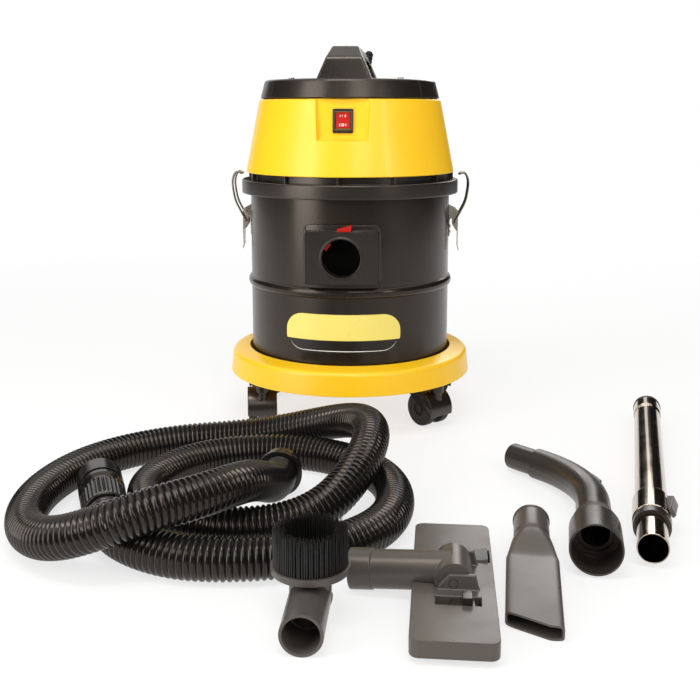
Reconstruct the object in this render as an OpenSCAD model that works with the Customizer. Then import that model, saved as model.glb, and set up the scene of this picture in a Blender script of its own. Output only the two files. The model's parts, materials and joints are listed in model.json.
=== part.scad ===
// Wheeled canister vacuum cleaner with hose, wand and tools.
// Millimetres, +Z up, floor at z = 0, hose inlet facing -Y.

/* [Drum] */
// Outer radius of the drum
drum_r = 147.4; // [140:0.1:150]
// Thickness of the drum's sheet
drum_wall = 1.5; // [1:0.1:2.5]
// Height of the drum's underside over the floor
drum_z = 84; // [80:1:90]
// Height of the drum's rim over the floor
rim_z = 342; // [338:1:346]
// Height of the middle of the rolled bead
bead_z = 203; // [190:1:208]
// Height of the bead
bead_h = 13; // [9:1:16]
// How far the bead stands out
bead_out = 4.4; // [2:0.1:5]
// Radius of the wire rolled into the rim
rim_roll_r = 2.4; // [1.8:0.1:3]

/* [Base] */
// Outer radius of the base ring at its lower edge
base_r = 180; // [176:1:190]
// Height of the base ring's lower edge over the floor
base_z = 66; // [64:1:68]
// Height of the base ring's outer wall
base_wall_h = 32; // [28:1:36]
// Wall thickness of the base ring
base_wall = 3.5; // [2.5:0.1:4]
// Gap between the base ring and the drum
base_gap = 3.6; // [2:0.1:5]
// Turn of the base ring under the drum, in degrees
base_turn = 4; // [0:1:8]

/* [Casters] */
// Radius of the circle that the caster stems stand on
caster_circle_r = 160; // [158:1:162]
// Radius of a caster wheel
wheel_r = 25; // [22:0.5:25.5]
// Width of one caster wheel
wheel_w = 12.5; // [9:0.5:13]
// Trail of the axle behind the stem
caster_trail = 18; // [15:0.5:19]
// Radius of the caster stem
stem_r = 5; // [4:0.1:6]
// Radius of the caster axle
axle_r = 3; // [2:0.1:4]

/* [Inlet] */
// Radius of the hose socket
inlet_bore_r = 26; // [24:0.1:27]
// Height of the hose socket over the floor
inlet_z = 254; // [250:1:258]
// Width of the inlet housing
inlet_w = 100; // [90:1:110]
// Height of the inlet housing
inlet_h = 72; // [66:1:76]
// Distance of the housing's front face from the drum's axis
inlet_face = 165; // [162:0.5:170]

/* [Label] */
// Width of the label plate
label_w = 159; // [120:1:170]
// Height of the label plate
label_h = 55; // [40:1:60]
// Height of the label's middle over the floor
label_z = 146; // [138:1:148]
// Thickness of the label plate
label_t = 0.6; // [0.4:0.1:1]

/* [Latches] */
// Wire diameter of the latch bails
bail_wire_d = 3; // [2.4:0.1:3.4]
// Width between the middles of the bail's two wires
bail_w = 22; // [20:0.5:26]
// Depth of the latch pivots under the drum's rim
latch_drop = 39; // [36:1:42]
// Distance of the bail's pivot under the lever's pivot
bail_drop = 15; // [13:0.5:17]
// Length of the latch lever under its pivot
lever_l = 50; // [40:1:60]

/* [Head] */
// Outer radius of the head's lower band
band_r = 160; // [158:0.5:162]
// Height of the head's lower band
band_h = 20; // [16:1:22]
// Height of the air gap between band and cone
air_gap = 10; // [8:1:12]
// Number of posts in the air gap
post_count = 12; // [8:1:16]
// Outer radius of the cone at its lower edge
cone_r0 = 153.7; // [152:0.1:155]
// Outer radius of the cone at its upper edge
cone_r1 = 133; // [130:0.5:136]
// Height of the cone
cone_h = 105; // [100:1:110]
// Wall thickness of the cone
cone_wall = 3; // [2:0.1:3.6]
// Width of the switch recess at its top
recess_w = 73; // [60:1:80]
// Height of the switch recess
recess_h = 55; // [48:1:60]

/* [Top cover] */
// Outer radius of the top cover at its lower edge
cover_r0 = 131.2; // [128:0.1:134]
// Outer radius of the top cover at its upper edge
cover_r1 = 125.4; // [122:0.1:128]
// Height of the top cover's rim
cover_h = 26; // [22:1:30]
// Wall thickness of the top cover
cover_wall = 3; // [2:0.1:4]
// Height of the handle over the cover's rim
handle_h = 45; // [40:1:50]
// Width of the handle at its foot
handle_w0 = 75; // [60:1:80]
// Width of the handle at its top
handle_w1 = 38; // [30:1:44]
// Length of the handle at its foot
handle_l = 232; // [220:1:236]
// Thickness of the grip
grip_t = 17; // [14:1:20]
// Length of the hand opening under the grip
hand_l = 132; // [110:1:140]

/* [Switch] */
// Width of the switch bezel
switch_w = 28; // [24:1:32]
// Height of the switch bezel
switch_h = 33; // [28:1:36]
// Depth of the switch's middle under the cone's upper edge
switch_drop = 30; // [27:1:35]

/* [Motor] */
// Outer radius of the motor's fan housing
fan_case_r = 72; // [66:1:76]
// Height of the fan housing
fan_case_h = 42; // [38:1:46]
// Outer radius of the motor frame
motor_r = 50; // [46:1:54]
// Height of the motor frame
motor_h = 66; // [64:1:70]
// Radius of the motor shaft
shaft_r = 4; // [3:0.5:5]
// Number of fan blades
blade_count = 8; // [6:1:12]
// Radius of the air intake over the float
intake_r = 22; // [18:1:24]

/* [Filter] */
// Outer radius of the float cage
cage_r = 36; // [32:1:40]
// Height of the float cage
cage_h = 92; // [80:1:100]
// Radius of the float ball
float_r = 26; // [25:0.5:28]
// Outer radius of the filter bag at its top
bag_r = 116; // [105:1:118]
// Depth of the filter bag
bag_h = 150; // [120:1:160]
// Thickness of the filter cloth
bag_t = 3; // [2:0.5:4]

/* [Hose] */
// Outer radius of the hose over its ribs
hose_r = 22; // [20:0.1:22.2]
// Depth of the ribs
rib_depth = 2; // [1.5:0.1:2.5]
// Radius of the hose's bore
hose_bore_r = 17.6; // [15:0.1:17.8]
// Number of ribs
rib_count = 190; // [150:1:200]
// Outer radius of the hose cuff's free end
cuff_r = 25.75; // [24.5:0.05:26]
// Length of the hose cuff
cuff_l = 110; // [95:1:112]
// Outer radius of the snap collar
collar_r = 24.25; // [23:0.05:24.5]
// Length of the snap collar
collar_l = 26; // [20:1:30]

/* [Wand] */
// Radius of the inner tube, and of every spigot that a tool goes on
spigot_r = 16; // [15.5:0.1:16.5]
// Radial clearance of a tool's socket round a spigot
socket_gap = 0.15; // [0.1:0.05:0.3]
// Outer radius of the outer tube
wand_r = 17.5; // [17.2:0.1:18.5]
// Length of the wand pushed together
wand_l = 493; // [460:1:520]
// Length of the inner tube that shows
wand_show = 52; // [45:1:60]
// Length of the wand's flared socket
wand_socket_l = 42; // [36:1:46]

/* [Grip] */
// Outer radius of the grip's tube
grip_r = 18.5; // [18:0.1:20]
// Bend radius of the grip
grip_bend_r = 170; // [150:5:190]
// Angle of the grip's bend
grip_bend = 50; // [40:1:58]
// Outer radius of the grip's cuff
grip_cuff_r = 26.5; // [26:0.1:27.5]
// Length of the grip's straight end with its cuff
grip_straight_l = 128; // [115:1:140]

/* [Tools] */
// Outer radius of a tool's socket
socket_r = 19.25; // [18.7:0.05:19.6]
// Length of a tool's socket
socket_l = 39; // [34:1:44]
// Length of the crevice tool
crevice_l = 204; // [190:1:215]
// Width of the crevice tool's mouth
crevice_w = 51; // [44:1:56]
// Thickness of the crevice tool's mouth
crevice_t = 15; // [12:1:18]
// Length of the floor tool
floor_l = 238; // [220:2:250]
// Width of the floor tool
floor_w = 76; // [72:1:80]
// Thickness of the floor tool's plate
floor_t = 16; // [14:1:18]
// Height of the bristle strips under the floor tool
strip_h = 6; // [4:1:8]
// Length of the floor tool's neck
neck_l = 98; // [90:1:106]
// Radius of the dusting brush
brush_r = 36; // [32:1:38]
// Length of the dusting brush's bristles
bristle_l = 35; // [28:1:40]

/* [Hidden] */
$fn = 64;

black = [0.13, 0.12, 0.11];
dark_grey = [0.25, 0.24, 0.22];
yellow = [0.98, 0.76, 0.12];
pale_yellow = [0.98, 0.85, 0.35];
red = [0.85, 0.10, 0.06];
steel = [0.75, 0.74, 0.72];
chrome = [0.70, 0.68, 0.64];
cloth = [0.86, 0.84, 0.78];

eps = 0.01;
floor_round = 9;    // corner radius of the floor tool's plate
run_gap = 0.05;     // radial clearance of a pin or shaft that turns in a bore
seat_gap = 0.2;     // between curved faces that rest against each other
move_gap = 0.4;     // between pieces that slide or swing past each other

// ---- where the loose pieces lie, measured from the drum's axis ----
wand_at = [341, -530];       // open end of the wand's inner tube
wand_turn = -11.5;
grip_at = [281, -556];       // open end of the grip's cuff
grip_turn = -8;
crevice_at = [209, -677];    // middle of the crevice tool's mouth
crevice_turn = -5;
floor_at = [141, -606];      // middle of the floor tool's plate
floor_turn = -1;
brush_at = [12, -720];       // open end of the dusting brush's tube
coil_at = [-121, -408];      // middle of the hose's coil

wand_reach_x = wand_at[0] + wand_l * sin(-wand_turn) + socket_r * cos(wand_turn);
floor_reach_y = floor_at[1] - (floor_l / 2 - floor_round) * cos(floor_turn)
    - (floor_w / 2 - floor_round) * abs(sin(floor_turn)) - floor_round;
near_y = min(brush_at[1], floor_reach_y);
// The origin is the middle of the set's box on the floor, the hose left out.
set_x = (base_r - wand_reach_x) / 2;
set_y = -(near_y + base_r) / 2;

module at_machine() {
    translate([set_x, set_y, 0]) children();
}

module laid(at, turn, z = 0) {
    translate([set_x + at[0], set_y + at[1], z]) rotate([0, 0, turn]) children();
}

// ---- shared shapes ----
module ring(r_out, r_in, z0, h) {
    translate([0, 0, z0]) difference() {
        cylinder(r = r_out, h = h);
        translate([0, 0, -1]) cylinder(r = r_in, h = h + 2);
    }
}

module rounded_square(w, h, r) {
    square([w - 2 * r, h], center = true);
    square([w, h - 2 * r], center = true);
    for (x = [-1, 1], y = [-1, 1]) translate([x * (w / 2 - r), y * (h / 2 - r)]) circle(r = r, $fn = 32);
}

// A plate standing upright: a flat outline in X and Z, pushed from y0 to y1.
module upright(y0, y1) {
    translate([0, y1, 0]) rotate([90, 0, 0]) linear_extrude(y1 - y0) children();
}

module along_y(r, y0, y1) {
    translate([0, y1, 0]) rotate([90, 0, 0]) cylinder(r = r, h = y1 - y0);
}

module tube_y(r_out, r_in, y0, y1) {
    difference() {
        along_y(r_out, y0, y1);
        along_y(r_in, y0 - 1, y1 + 1);
    }
}

function unit(v) = v / norm(v);
function heading_at(points, i) =
    unit(points[min(i + 1, len(points) - 1)] - points[max(i - 1, 0)]);

// Rings of points round a bent line, each ring's start carried on from the one before.
function wire_rings(points, r, sides, i = 0, start = [0, 1, 0]) = i == len(points) ? [] :
    let (h = heading_at(points, i), side = unit(start - (start * h) * h), up = cross(side, h))
    concat([for (k = [0 : sides - 1]) let (a = 360 * k / sides) points[i] + r * (cos(a) * side + sin(a) * up)],
        wire_rings(points, r, sides, i + 1, side));

// Triangles between rings that follow each other in the list of points, from the ring at first.
function strip_faces(first, count, sides, inward = false) = [for (j = [0 : count - 1], k = [0 : sides - 1])
    let (a = first + j * sides + k, b = first + j * sides + (k + 1) % sides, c = b + sides, d = a + sides)
    each inward ? [[a, c, b], [a, d, c]] : [[a, b, c], [a, c, d]]];

module wire(points, d, sides = 10) {
    last = (len(points) - 1) * sides;
    polyhedron(points = wire_rings(points, d / 2, sides), faces = concat(
        strip_faces(0, len(points) - 1, sides),
        [[for (k = [sides - 1 : -1 : 0]) k]], [[for (k = [0 : sides - 1]) last + k]]));
}

// ---- drum ----
rim_r = drum_r + rim_roll_r;
base_in_r = drum_r + base_gap;
drum_round = 12;

module tank() {
    color(black) at_machine() difference() {
        union() {
            difference() {
                rotate_extrude($fn = 96) polygon(concat(
                    [[0, drum_z], [drum_r - drum_round, drum_z]],
                    [for (a = [-75 : 15 : 0]) [drum_r - drum_round + drum_round * cos(a),
                        drum_z + drum_round + drum_round * sin(a)]],
                    bead_outline(drum_r),
                    [[drum_r, rim_z], [drum_r - drum_wall, rim_z]],
                    reverse_list(bead_outline(drum_r - drum_wall)),
                    [for (a = [0 : -15 : -75]) [drum_r - drum_round + (drum_round - drum_wall) * cos(a),
                        drum_z + drum_round + (drum_round - drum_wall) * sin(a)]],
                    [[drum_r - drum_round, drum_z + drum_wall], [0, drum_z + drum_wall]]));
            }
            translate([0, 0, rim_z - rim_roll_r]) rotate_extrude($fn = 96)
                translate([drum_r, 0]) circle(r = rim_roll_r, $fn = 24);
        }
        translate([0, 0, inlet_z]) along_y(deflector_r + seat_gap, -drum_r - 5, -drum_r / 2);
    }
}

function bead_outline(r) = concat(
    [[r, bead_z - bead_h / 2 - 2]],
    [for (a = [-90 : 22.5 : 90]) [r + bead_out * cos(a), bead_z + bead_h / 2 * sin(a)]],
    [[r, bead_z + bead_h / 2 + 2]]);
function reverse_list(list) = [for (i = [len(list) - 1 : -1 : 0]) list[i]];

gasket_h = 4;
head_z = rim_z + gasket_h;      // underside of the head's deck

module tank_gasket() {
    color(dark_grey) at_machine() ring(rim_r, drum_r - 5, rim_z, gasket_h);
}

// ---- inlet ----
flange_w = inlet_w + 7;
flange_top = inlet_z + inlet_h / 2 + 8;
flange_bottom = inlet_z - inlet_h / 2 - 1;
flange_h = flange_top - flange_bottom;
catch_y = -inlet_face + 5;      // front face of the catch's ring
catch_t = 5;
catch_r = inlet_bore_r + 4.6;
catch_tab_w = 20;
catch_tab_x = 4;
catch_top = inlet_z + inlet_h / 2 + 9;
catch_swing = 10;
tooth_r = inlet_bore_r - 3.5;   // how far in the catch's tooth reaches

// A sector of a disc about the hose socket, from angle a0 to a1.
module socket_sector(r_out, a0, a1) {
    reach = r_out * 1.5;
    intersection() {
        circle(r = r_out);
        polygon([[0, 0], [reach * cos(a0), reach * sin(a0)],
            [reach * cos((a0 + a1) / 2), reach * sin((a0 + a1) / 2)], [reach * cos(a1), reach * sin(a1)]]);
    }
}

module catch_outline(extra, swing) {
    difference() {
        socket_sector(catch_r + extra, 64 - swing, 158 + extra * 2);
        circle(r = inlet_bore_r + 0.6 - extra);
    }
    difference() {
        socket_sector(catch_r + extra, 128 - swing, 154 + extra * 2);
        circle(r = tooth_r - extra);
    }
}

module inlet_housing() {
    color(black) at_machine() difference() {
        union() {
            translate([0, 0, inlet_z]) upright(-inlet_face, -drum_r * 0.6)
                rounded_square(inlet_w, inlet_h, 4);
            intersection() {
                cylinder(r = drum_r + 5, h = rim_z, $fn = 96);
                translate([0, 0, (flange_top + flange_bottom) / 2]) upright(-drum_r - 10, -drum_r * 0.6)
                    rounded_square(flange_w, flange_h, 9);
            }
            translate([0, 0, inlet_z]) along_y(inlet_bore_r + 2.7, -inlet_face - 1.5, -inlet_face + 2);
        }
        translate([0, 0, -1]) cylinder(r = drum_r + seat_gap, h = rim_z + 2, $fn = 96);
        translate([0, 0, inlet_z]) along_y(inlet_bore_r, -inlet_face - 3, 0);
        translate([0, 0, inlet_z]) upright(catch_y - move_gap, catch_y + catch_t + move_gap)
            catch_outline(move_gap, catch_swing + 2);
        translate([catch_tab_x + 4, catch_y + catch_t / 2, inlet_z + catch_r + 8]) cube([catch_tab_w + 16,
            catch_t + 2 * move_gap, 30], center = true);
    }
}

module inlet_catch() {
    color(red) at_machine() translate([0, 0, inlet_z]) upright(catch_y, catch_y + catch_t) {
        catch_outline(0, 0);
        polygon([[catch_tab_x - 7, catch_r - 2.5], [catch_tab_x + 8, catch_r - 2.5],
            [catch_tab_x + catch_tab_w / 2, catch_top - inlet_z],
            [catch_tab_x - catch_tab_w / 2, catch_top - inlet_z - 6]]);
    }
}

deflector_r = inlet_bore_r + 3.2;
deflector_l = 25;

module inlet_deflector() {
    color(black) at_machine() intersection() {
        cylinder(r = drum_r, h = rim_z, $fn = 96);
        translate([0, 0, inlet_z]) difference() {
            along_y(deflector_r, -drum_r - 1, -drum_r + deflector_l);
            along_y(inlet_bore_r + 0.8, -drum_r - 2, -drum_r + deflector_l - 3);
            translate([10, -drum_r + 8, -deflector_r - 1])
                cube([deflector_r * 2, deflector_l - 11, deflector_r * 2 + 2]);
        }
    }
}

label_round = 24;

module label_plate() {
    color(pale_yellow) at_machine() intersection() {
        ring(drum_r + seat_gap + label_t, drum_r + seat_gap, label_z - label_h / 2 - 1, label_h + 2, $fn = 96);
        translate([0, 0, label_z]) upright(-drum_r - 5, -drum_r / 2)
            rounded_square(label_w, label_h, label_round);
    }
}

// ---- base ring ----
base_top = base_z + base_wall_h;
deck_in_z = base_top + 5;       // the deck's inner edge is higher than its outer one
caster_angles = [-90 - 52, -90 + 52, -90 - 115, -90 + 115];
boss_r = 12;
boss_bore_h = 24;

module base_ring() {
    color(yellow) at_machine() rotate([0, 0, base_turn]) difference() {
        union() {
            rotate_extrude($fn = 96) polygon([[0, drum_z], [base_in_r, drum_z], [base_in_r, deck_in_z],
                [base_r - 9, base_top + 0.5], [base_r - 6.2, base_top - 0.6], [base_r - 4.3, base_top - 3],
                [base_r - 3.6, base_top - 6], [base_r, base_z], [base_r - base_wall, base_z],
                [base_r - base_wall - 3.6, base_top - 7], [base_r - 10, base_top - base_wall],
                [base_in_r + base_wall, deck_in_z - base_wall - 0.5], [base_in_r + base_wall, drum_z - 4],
                [0, drum_z - 4]]);
            for (a = caster_angles) rotate([0, 0, a]) translate([caster_circle_r, 0, base_z + 1])
                cylinder(r = boss_r, h = base_top - base_z - 2);
        }
        translate([0, 0, drum_z]) cylinder(r = base_in_r, h = 40, $fn = 96);
        for (a = caster_angles) rotate([0, 0, a]) translate([caster_circle_r, 0, base_z])
            cylinder(r = stem_r + run_gap, h = boss_bore_h);
    }
}

// ---- casters ----
hood_r = wheel_r + 3;
hood_w = 2 * wheel_w + 17;
web_w = 13;
axle_l = hood_w - 4;
stem_foot_z = 38;
caster_facing = [100, 133, -16, 204];

module at_caster(i) {
    a = caster_angles[i] + base_turn;
    at_machine() translate([caster_circle_r * cos(a), caster_circle_r * sin(a), 0])
        rotate([0, 0, caster_facing[i]]) children();
}

module caster_stem(i) {
    color(steel) at_caster(i) {
        translate([0, 0, stem_foot_z]) cylinder(r = stem_r, h = base_z + boss_bore_h - 1 - stem_foot_z);
        translate([0, 0, base_z - 2.5]) cylinder(r = stem_r + 3, h = 3.2);
    }
}

// The hood's own frame: stem on the Z axis, axle at x = caster_trail, along Y.
module caster_hood(i) {
    color(black) at_caster(i) difference() {
        union() {
            translate([caster_trail, 0, wheel_r]) difference() {
                intersection() {
                    along_y(hood_r, -hood_w / 2, hood_w / 2);
                    translate([-hood_r - 1, -hood_w, -8]) cube([hood_r * 2 - 8, hood_w * 2, hood_r * 2]);
                }
                for (s = [-1, 1]) translate([0, s * (web_w / 2 + hood_w / 2), 0])
                    along_y(wheel_r + 1, -hood_w / 2, hood_w / 2);
            }
            translate([caster_trail, 0, wheel_r]) along_y(wheel_r - 5, -web_w / 2, web_w / 2);
            translate([0, 0, stem_foot_z - 3]) cylinder(r = web_w / 2, h = 2 * wheel_r - stem_foot_z + 3);
            translate([0, 0, 2 * wheel_r]) cylinder(r = stem_r + 4, h = base_z - 3 - 2 * wheel_r);
        }
        translate([0, 0, stem_foot_z - 0.3]) cylinder(r = stem_r + run_gap, h = 60);
        translate([caster_trail, 0, wheel_r]) along_y(axle_r + run_gap, -hood_w, hood_w);
    }
}

module caster_wheels(i) {
    color(black) at_caster(i) translate([caster_trail, 0, wheel_r]) {
        along_y(axle_r, -axle_l / 2, axle_l / 2);
        for (s = [-1, 1]) translate([0, s * (web_w / 2 + 0.6 + wheel_w / 2), 0])
            rotate([90, 0, 0]) rotate_extrude() polygon([[0, -wheel_w / 2], [wheel_r - 2, -wheel_w / 2],
                [wheel_r, -wheel_w / 2 + 2], [wheel_r, wheel_w / 2 - 2], [wheel_r - 2, wheel_w / 2],
                [0, wheel_w / 2]]);
    }
}

// ---- latches, drawn at +X; the left one is turned by half a turn ----
pivot_x = drum_r + 8.2;
pin_r = 2;
ear_in = 9.7;
bail_end_r = bail_wire_d / 2;
cheek_out = 9.2;
lever_w = 2 * cheek_out;

latch_z = rim_z - latch_drop;

module latch_side(left) {
    at_machine() rotate([0, 0, left ? 180 : 0]) children();
}

module latch_bracket(left) {
    color(steel) latch_side(left) {
        difference() {
            union() {
                intersection() {
                    ring(drum_r + seat_gap + 1.5, drum_r + seat_gap, latch_z - 36, 46, $fn = 96);
                    translate([drum_r - 8, -ear_in - 1.5, 0]) cube([20, 2 * ear_in + 3, rim_z]);
                }
                for (s = [-1, 1]) translate([0, s * (ear_in + 0.75), 0]) upright(-0.75, 0.75)
                    polygon([[drum_r + 0.8, latch_z - 12], [pivot_x, latch_z - 5], [pivot_x + 4.5, latch_z],
                        [pivot_x + 2, latch_z + 5], [drum_r + 0.8, latch_z + 9]]);
            }
            translate([0, 0, 0]) cylinder(r = drum_r + seat_gap, h = rim_z, $fn = 96);
        }
        translate([pivot_x, 0, latch_z]) along_y(pin_r, -ear_in - 3, ear_in + 3);
        for (z = [latch_z - 30, latch_z - 22]) translate([drum_r + 1, 0, z]) rotate([0, 90, 0])
            cylinder(r = 2.4, h = 2);
    }
}

module latch_lever(left) {
    color(steel) latch_side(left) difference() {
        union() {
            for (s = [-1, 1]) translate([0, s * (cheek_out - 0.6), 0]) upright(-0.6, 0.6)
                polygon([[pivot_x - 3.6, latch_z + 2], [pivot_x, latch_z + 4], [pivot_x + 5, latch_z + 2],
                    [pivot_x + 5, latch_z - 28], [pivot_x + 3, latch_z - 28],
                    [pivot_x - 3, latch_z - bail_drop - 4]]);
            translate([pivot_x + 4.2, 0, 0]) rotate([90, 0, 90]) linear_extrude(1.2)
                polygon([[-lever_w / 2, latch_z + 2], [lever_w / 2, latch_z + 2], [lever_w / 2, latch_z - 26],
                    [5.5, latch_z - lever_l], [-5.5, latch_z - lever_l], [-lever_w / 2, latch_z - 26]]);
            translate([pivot_x + 4.2, -5.5, latch_z - lever_l]) rotate([0, -14, 0]) translate([0, 0, -8])
                cube([1.2, 11, 9]);
        }
        translate([pivot_x, 0, latch_z]) along_y(pin_r + run_gap, -20, 20);
        translate([pivot_x, 0, latch_z - bail_drop]) along_y(bail_end_r + run_gap, -20, 20);
        translate([pivot_x, 0, latch_z - 19]) rotate([0, 90, 0]) cylinder(r = 1.8, h = 20);
    }
}

bail_top_z = rim_z + gasket_h + 15;

module latch_bail(left) {
    side_y = bail_w / 2;
    z0 = latch_z - bail_drop;
    hook_x = band_r + bail_end_r + 0.7;
    side = [[pivot_x, side_y, z0], [pivot_x + 8, side_y, z0 + 15], [pivot_x + 15.5, side_y, z0 + 31],
        [pivot_x + 19, side_y, bail_top_z - 24], [pivot_x + 19.3, side_y, bail_top_z - 12],
        [pivot_x + 16.5, side_y, bail_top_z - 3.5], [hook_x + 6, side_y, bail_top_z],
        [hook_x + 1.5, side_y - 0.5, bail_top_z - 1], [hook_x, side_y - 3, bail_top_z - 2]];
    color(steel) latch_side(left) {
        wire(concat(side, [for (p = reverse_list(side)) [p[0], -p[1], p[2]]]), bail_wire_d);
        for (s = [0, 1]) mirror([0, s, 0]) translate([pivot_x, 0, z0])
            along_y(bail_end_r, cheek_out - 2, side_y + bail_end_r);
    }
}

// ---- head ----
band_top = head_z + 6;
band_z = band_top - band_h;
deck_t = 3.5;
riser_r = 146;
cone_z = band_top + air_gap;
cone_top = cone_z + cone_h;

function cone_at(z) = cone_r0 + (cone_r1 - cone_r0) * (z - cone_z) / cone_h;

module head_base() {
    color(black) at_machine() difference() {
        union() {
            rotate_extrude($fn = 96) polygon([[0, head_z], [band_r - 3.5, head_z], [band_r - 3.5, band_z],
                [band_r - 0.5, band_z], [band_r, band_z + 2], [band_r, band_top - 1.5],
                [band_r - 1.5, band_top], [riser_r, band_top], [riser_r, cone_z + 3], [riser_r - 3, cone_z + 3],
                [riser_r - 3, head_z + deck_t], [fan_case_r + 4.4, head_z + deck_t],
                [fan_case_r + 4.4, head_z + deck_t + 8], [fan_case_r + 1, head_z + deck_t + 8],
                [fan_case_r + 1, head_z + deck_t], [0, head_z + deck_t]]);
            for (i = [0 : post_count - 1]) rotate([0, 0, i * 360 / post_count + 88])
                translate([riser_r - 1, -1.6, band_top - 1]) cube([cone_r0 - riser_r, 3.2, air_gap + 1 - eps]);
        }
        translate([0, 0, head_z - 1]) cylinder(r = intake_r, h = deck_t + 2);
    }
}

recess_face_top = cone_r1 - 9;         // the recess's back plane, at its top
recess_face_bottom = cone_at(cone_top - recess_h) - 12;
recess_w0 = recess_w - 6;

function recess_face(z) = recess_face_top + (recess_face_bottom - recess_face_top) * (cone_top - z) / recess_h;

// The space in front of the recess's back plane, grown by g on every side.
module recess_space(g) {
    z0 = cone_top - recess_h - g;
    z1 = cone_top + 1;
    intersection() {
        upright(-cone_r0 - 20, -cone_r1 / 2) polygon([[-recess_w0 / 2 - g, z0], [recess_w0 / 2 + g, z0],
            [recess_w / 2 + g, z1], [-recess_w / 2 - g, z1]]);
        rotate([90, 0, 90]) translate([0, 0, -recess_w]) linear_extrude(2 * recess_w) polygon([
            [-recess_face(z1) + g, z1], [-recess_face(z0) + g, z0], [-cone_r0 - 30, z0], [-cone_r0 - 30, z1]]);
    }
}

module cone_body(inset) {
    foot_z = cone_z - (inset > 0 ? 1 : 0);
    rotate_extrude($fn = 96) polygon([[0, foot_z], [cone_r0 - inset, foot_z],
        [cone_r1 - inset + 0.6, cone_top - 3.5], [cone_r1 - inset - 0.7, cone_top - 1], [cone_r1 - inset - 3,
        cone_top - inset], [0, cone_top - inset]]);
}

switch_tilt = -atan2(recess_face_bottom - recess_face_top, recess_h);
switch_z = cone_top - switch_drop;
switch_y = -recess_face(switch_z);
cutout_w = switch_w - 5;
cutout_h = switch_h - 5;

// The switch's own frame: its middle on the recess's back plane, outward along -Y.
module at_switch() {
    at_machine() translate([0, switch_y, switch_z]) rotate([switch_tilt, 0, 0]) children();
}

shell_hole_r = 100;
screw_circle_r = 108;
screw_r = 2;
screw_spots = [for (a = [45 : 90 : 315]) screw_circle_r * [cos(a), sin(a), 0]];

module head_shell() {
    color(yellow) difference() {
        at_machine() difference() {
            union() {
                difference() {
                    cone_body(0);
                    cone_body(cone_wall);
                }
                intersection() {
                    cone_body(0);
                    recess_space(cone_wall);
                }
            }
            recess_space(0);
            translate([0, 0, cone_top - 10]) cylinder(r = shell_hole_r, h = 20);
            for (p = screw_spots) translate(p) cylinder(r = screw_r + run_gap, h = cone_top + 1);
        }
        at_switch() upright(-10, 20) square([cutout_w, cutout_h], center = true);
    }
}

cover_z = cone_top + 1.5;
cover_top = cover_z + cover_h;
dish_z = cover_top - 10;
dish_r = 78;
grip_z = cover_top + handle_h - grip_t;

module top_cover() {
    color(black) at_machine() difference() {
        union() {
            rotate_extrude($fn = 96) polygon([[0, dish_z - cover_wall], [dish_r + 3, dish_z - cover_wall],
                [dish_r + 12, cover_top - cover_wall], [cover_r1 - 6, cover_top - cover_wall],
                [cover_r1 - 3.4, cover_top - 5], [cover_r0 - cover_wall - 0.4, cover_z + 2],
                [cover_r0 - cover_wall - 1.5, cone_top], [cover_r0 - cover_wall, cone_top],
                [cover_r0 - cover_wall + 0.1, cover_z], [cover_r0, cover_z], [cover_r1, cover_top - 3],
                [cover_r1 - 1.5, cover_top - 0.8], [cover_r1 - 4, cover_top], [dish_r + 10, cover_top],
                [dish_r, dish_z], [0, dish_z]]);
            handle_solid();
            for (p = screw_spots) translate(p) translate([0, 0, cone_top])
                cylinder(r = screw_r + 3, h = cover_h - 1);
        }
        hand_opening();
        at_gland() cylinder(r = gland_r + 2 + seat_gap, h = 2 * gland_l);
        for (p = screw_spots) translate(p) cylinder(r = screw_r + run_gap, h = cover_top + 1);
    }
}

handle_top = cover_top + handle_h;

module handle_solid() {
    intersection() {
        upright(-handle_l / 2, handle_l / 2) polygon([
            [-handle_w0 / 2, dish_z - 1], [handle_w0 / 2, dish_z - 1], [handle_w0 / 2, cover_top],
            [handle_w1 / 2 + 0.6, handle_top - 2], [handle_w1 / 2 - 1.4, handle_top],
            [-handle_w1 / 2 + 1.4, handle_top], [-handle_w1 / 2 - 0.6, handle_top - 2],
            [-handle_w0 / 2, cover_top]]);
        rotate([90, 0, 90]) translate([0, 0, -handle_w0]) linear_extrude(2 * handle_w0) polygon([
            [-handle_l / 2 - 3, dish_z - 1], [handle_l / 2 + 3, dish_z - 1], [handle_l / 2, cover_top],
            [handle_l / 2 - 6, cover_top + 29], [handle_l / 2 - 32, handle_top],
            [-handle_l / 2 + 32, handle_top], [-handle_l / 2 + 6, cover_top + 29], [-handle_l / 2, cover_top]]);
    }
}

module hand_opening() {
    rotate([90, 0, 90]) translate([0, 0, -handle_w0]) linear_extrude(2 * handle_w0) {
        polygon([[-hand_l / 2 - 4, dish_z], [hand_l / 2 + 4, dish_z], [hand_l / 2, grip_z - 8],
            [hand_l / 2 - 8, grip_z], [-hand_l / 2 + 8, grip_z], [-hand_l / 2, grip_z - 8]]);
    }
}

module cover_screws() {
    color(steel) at_machine() for (p = screw_spots) translate(p) {
        translate([0, 0, cone_top - 8]) cylinder(r = screw_r, h = cover_top + 0.5 - cone_top + 8);
        translate([0, 0, cover_top + 0.1]) cylinder(r = 2 * screw_r, h = 1.8);
    }
}

gland_r = 6.5;
gland_l = 30;
gland_rib = 3.4;
gland_from_rim = 20;    // how far over the cover's rim its foot sits in the handle

module at_gland() {
    translate([19, handle_l / 2 - 24, cover_top + gland_from_rim]) rotate([-26, 8, 0]) children();
}

module cord_gland() {
    color(black) at_machine() at_gland() difference() {
        union() {
            cylinder(r = gland_r - 1.6, h = gland_l);
            translate([0, 0, 0.1]) cylinder(r = gland_r + 2, h = 3);
            for (i = [0 : 3]) translate([0, 0, 6 + i * 6]) cylinder(r = gland_r, h = gland_rib);
        }
        translate([0, 0, -1]) cylinder(r = 3.6, h = gland_l + 2);
    }
}

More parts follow.
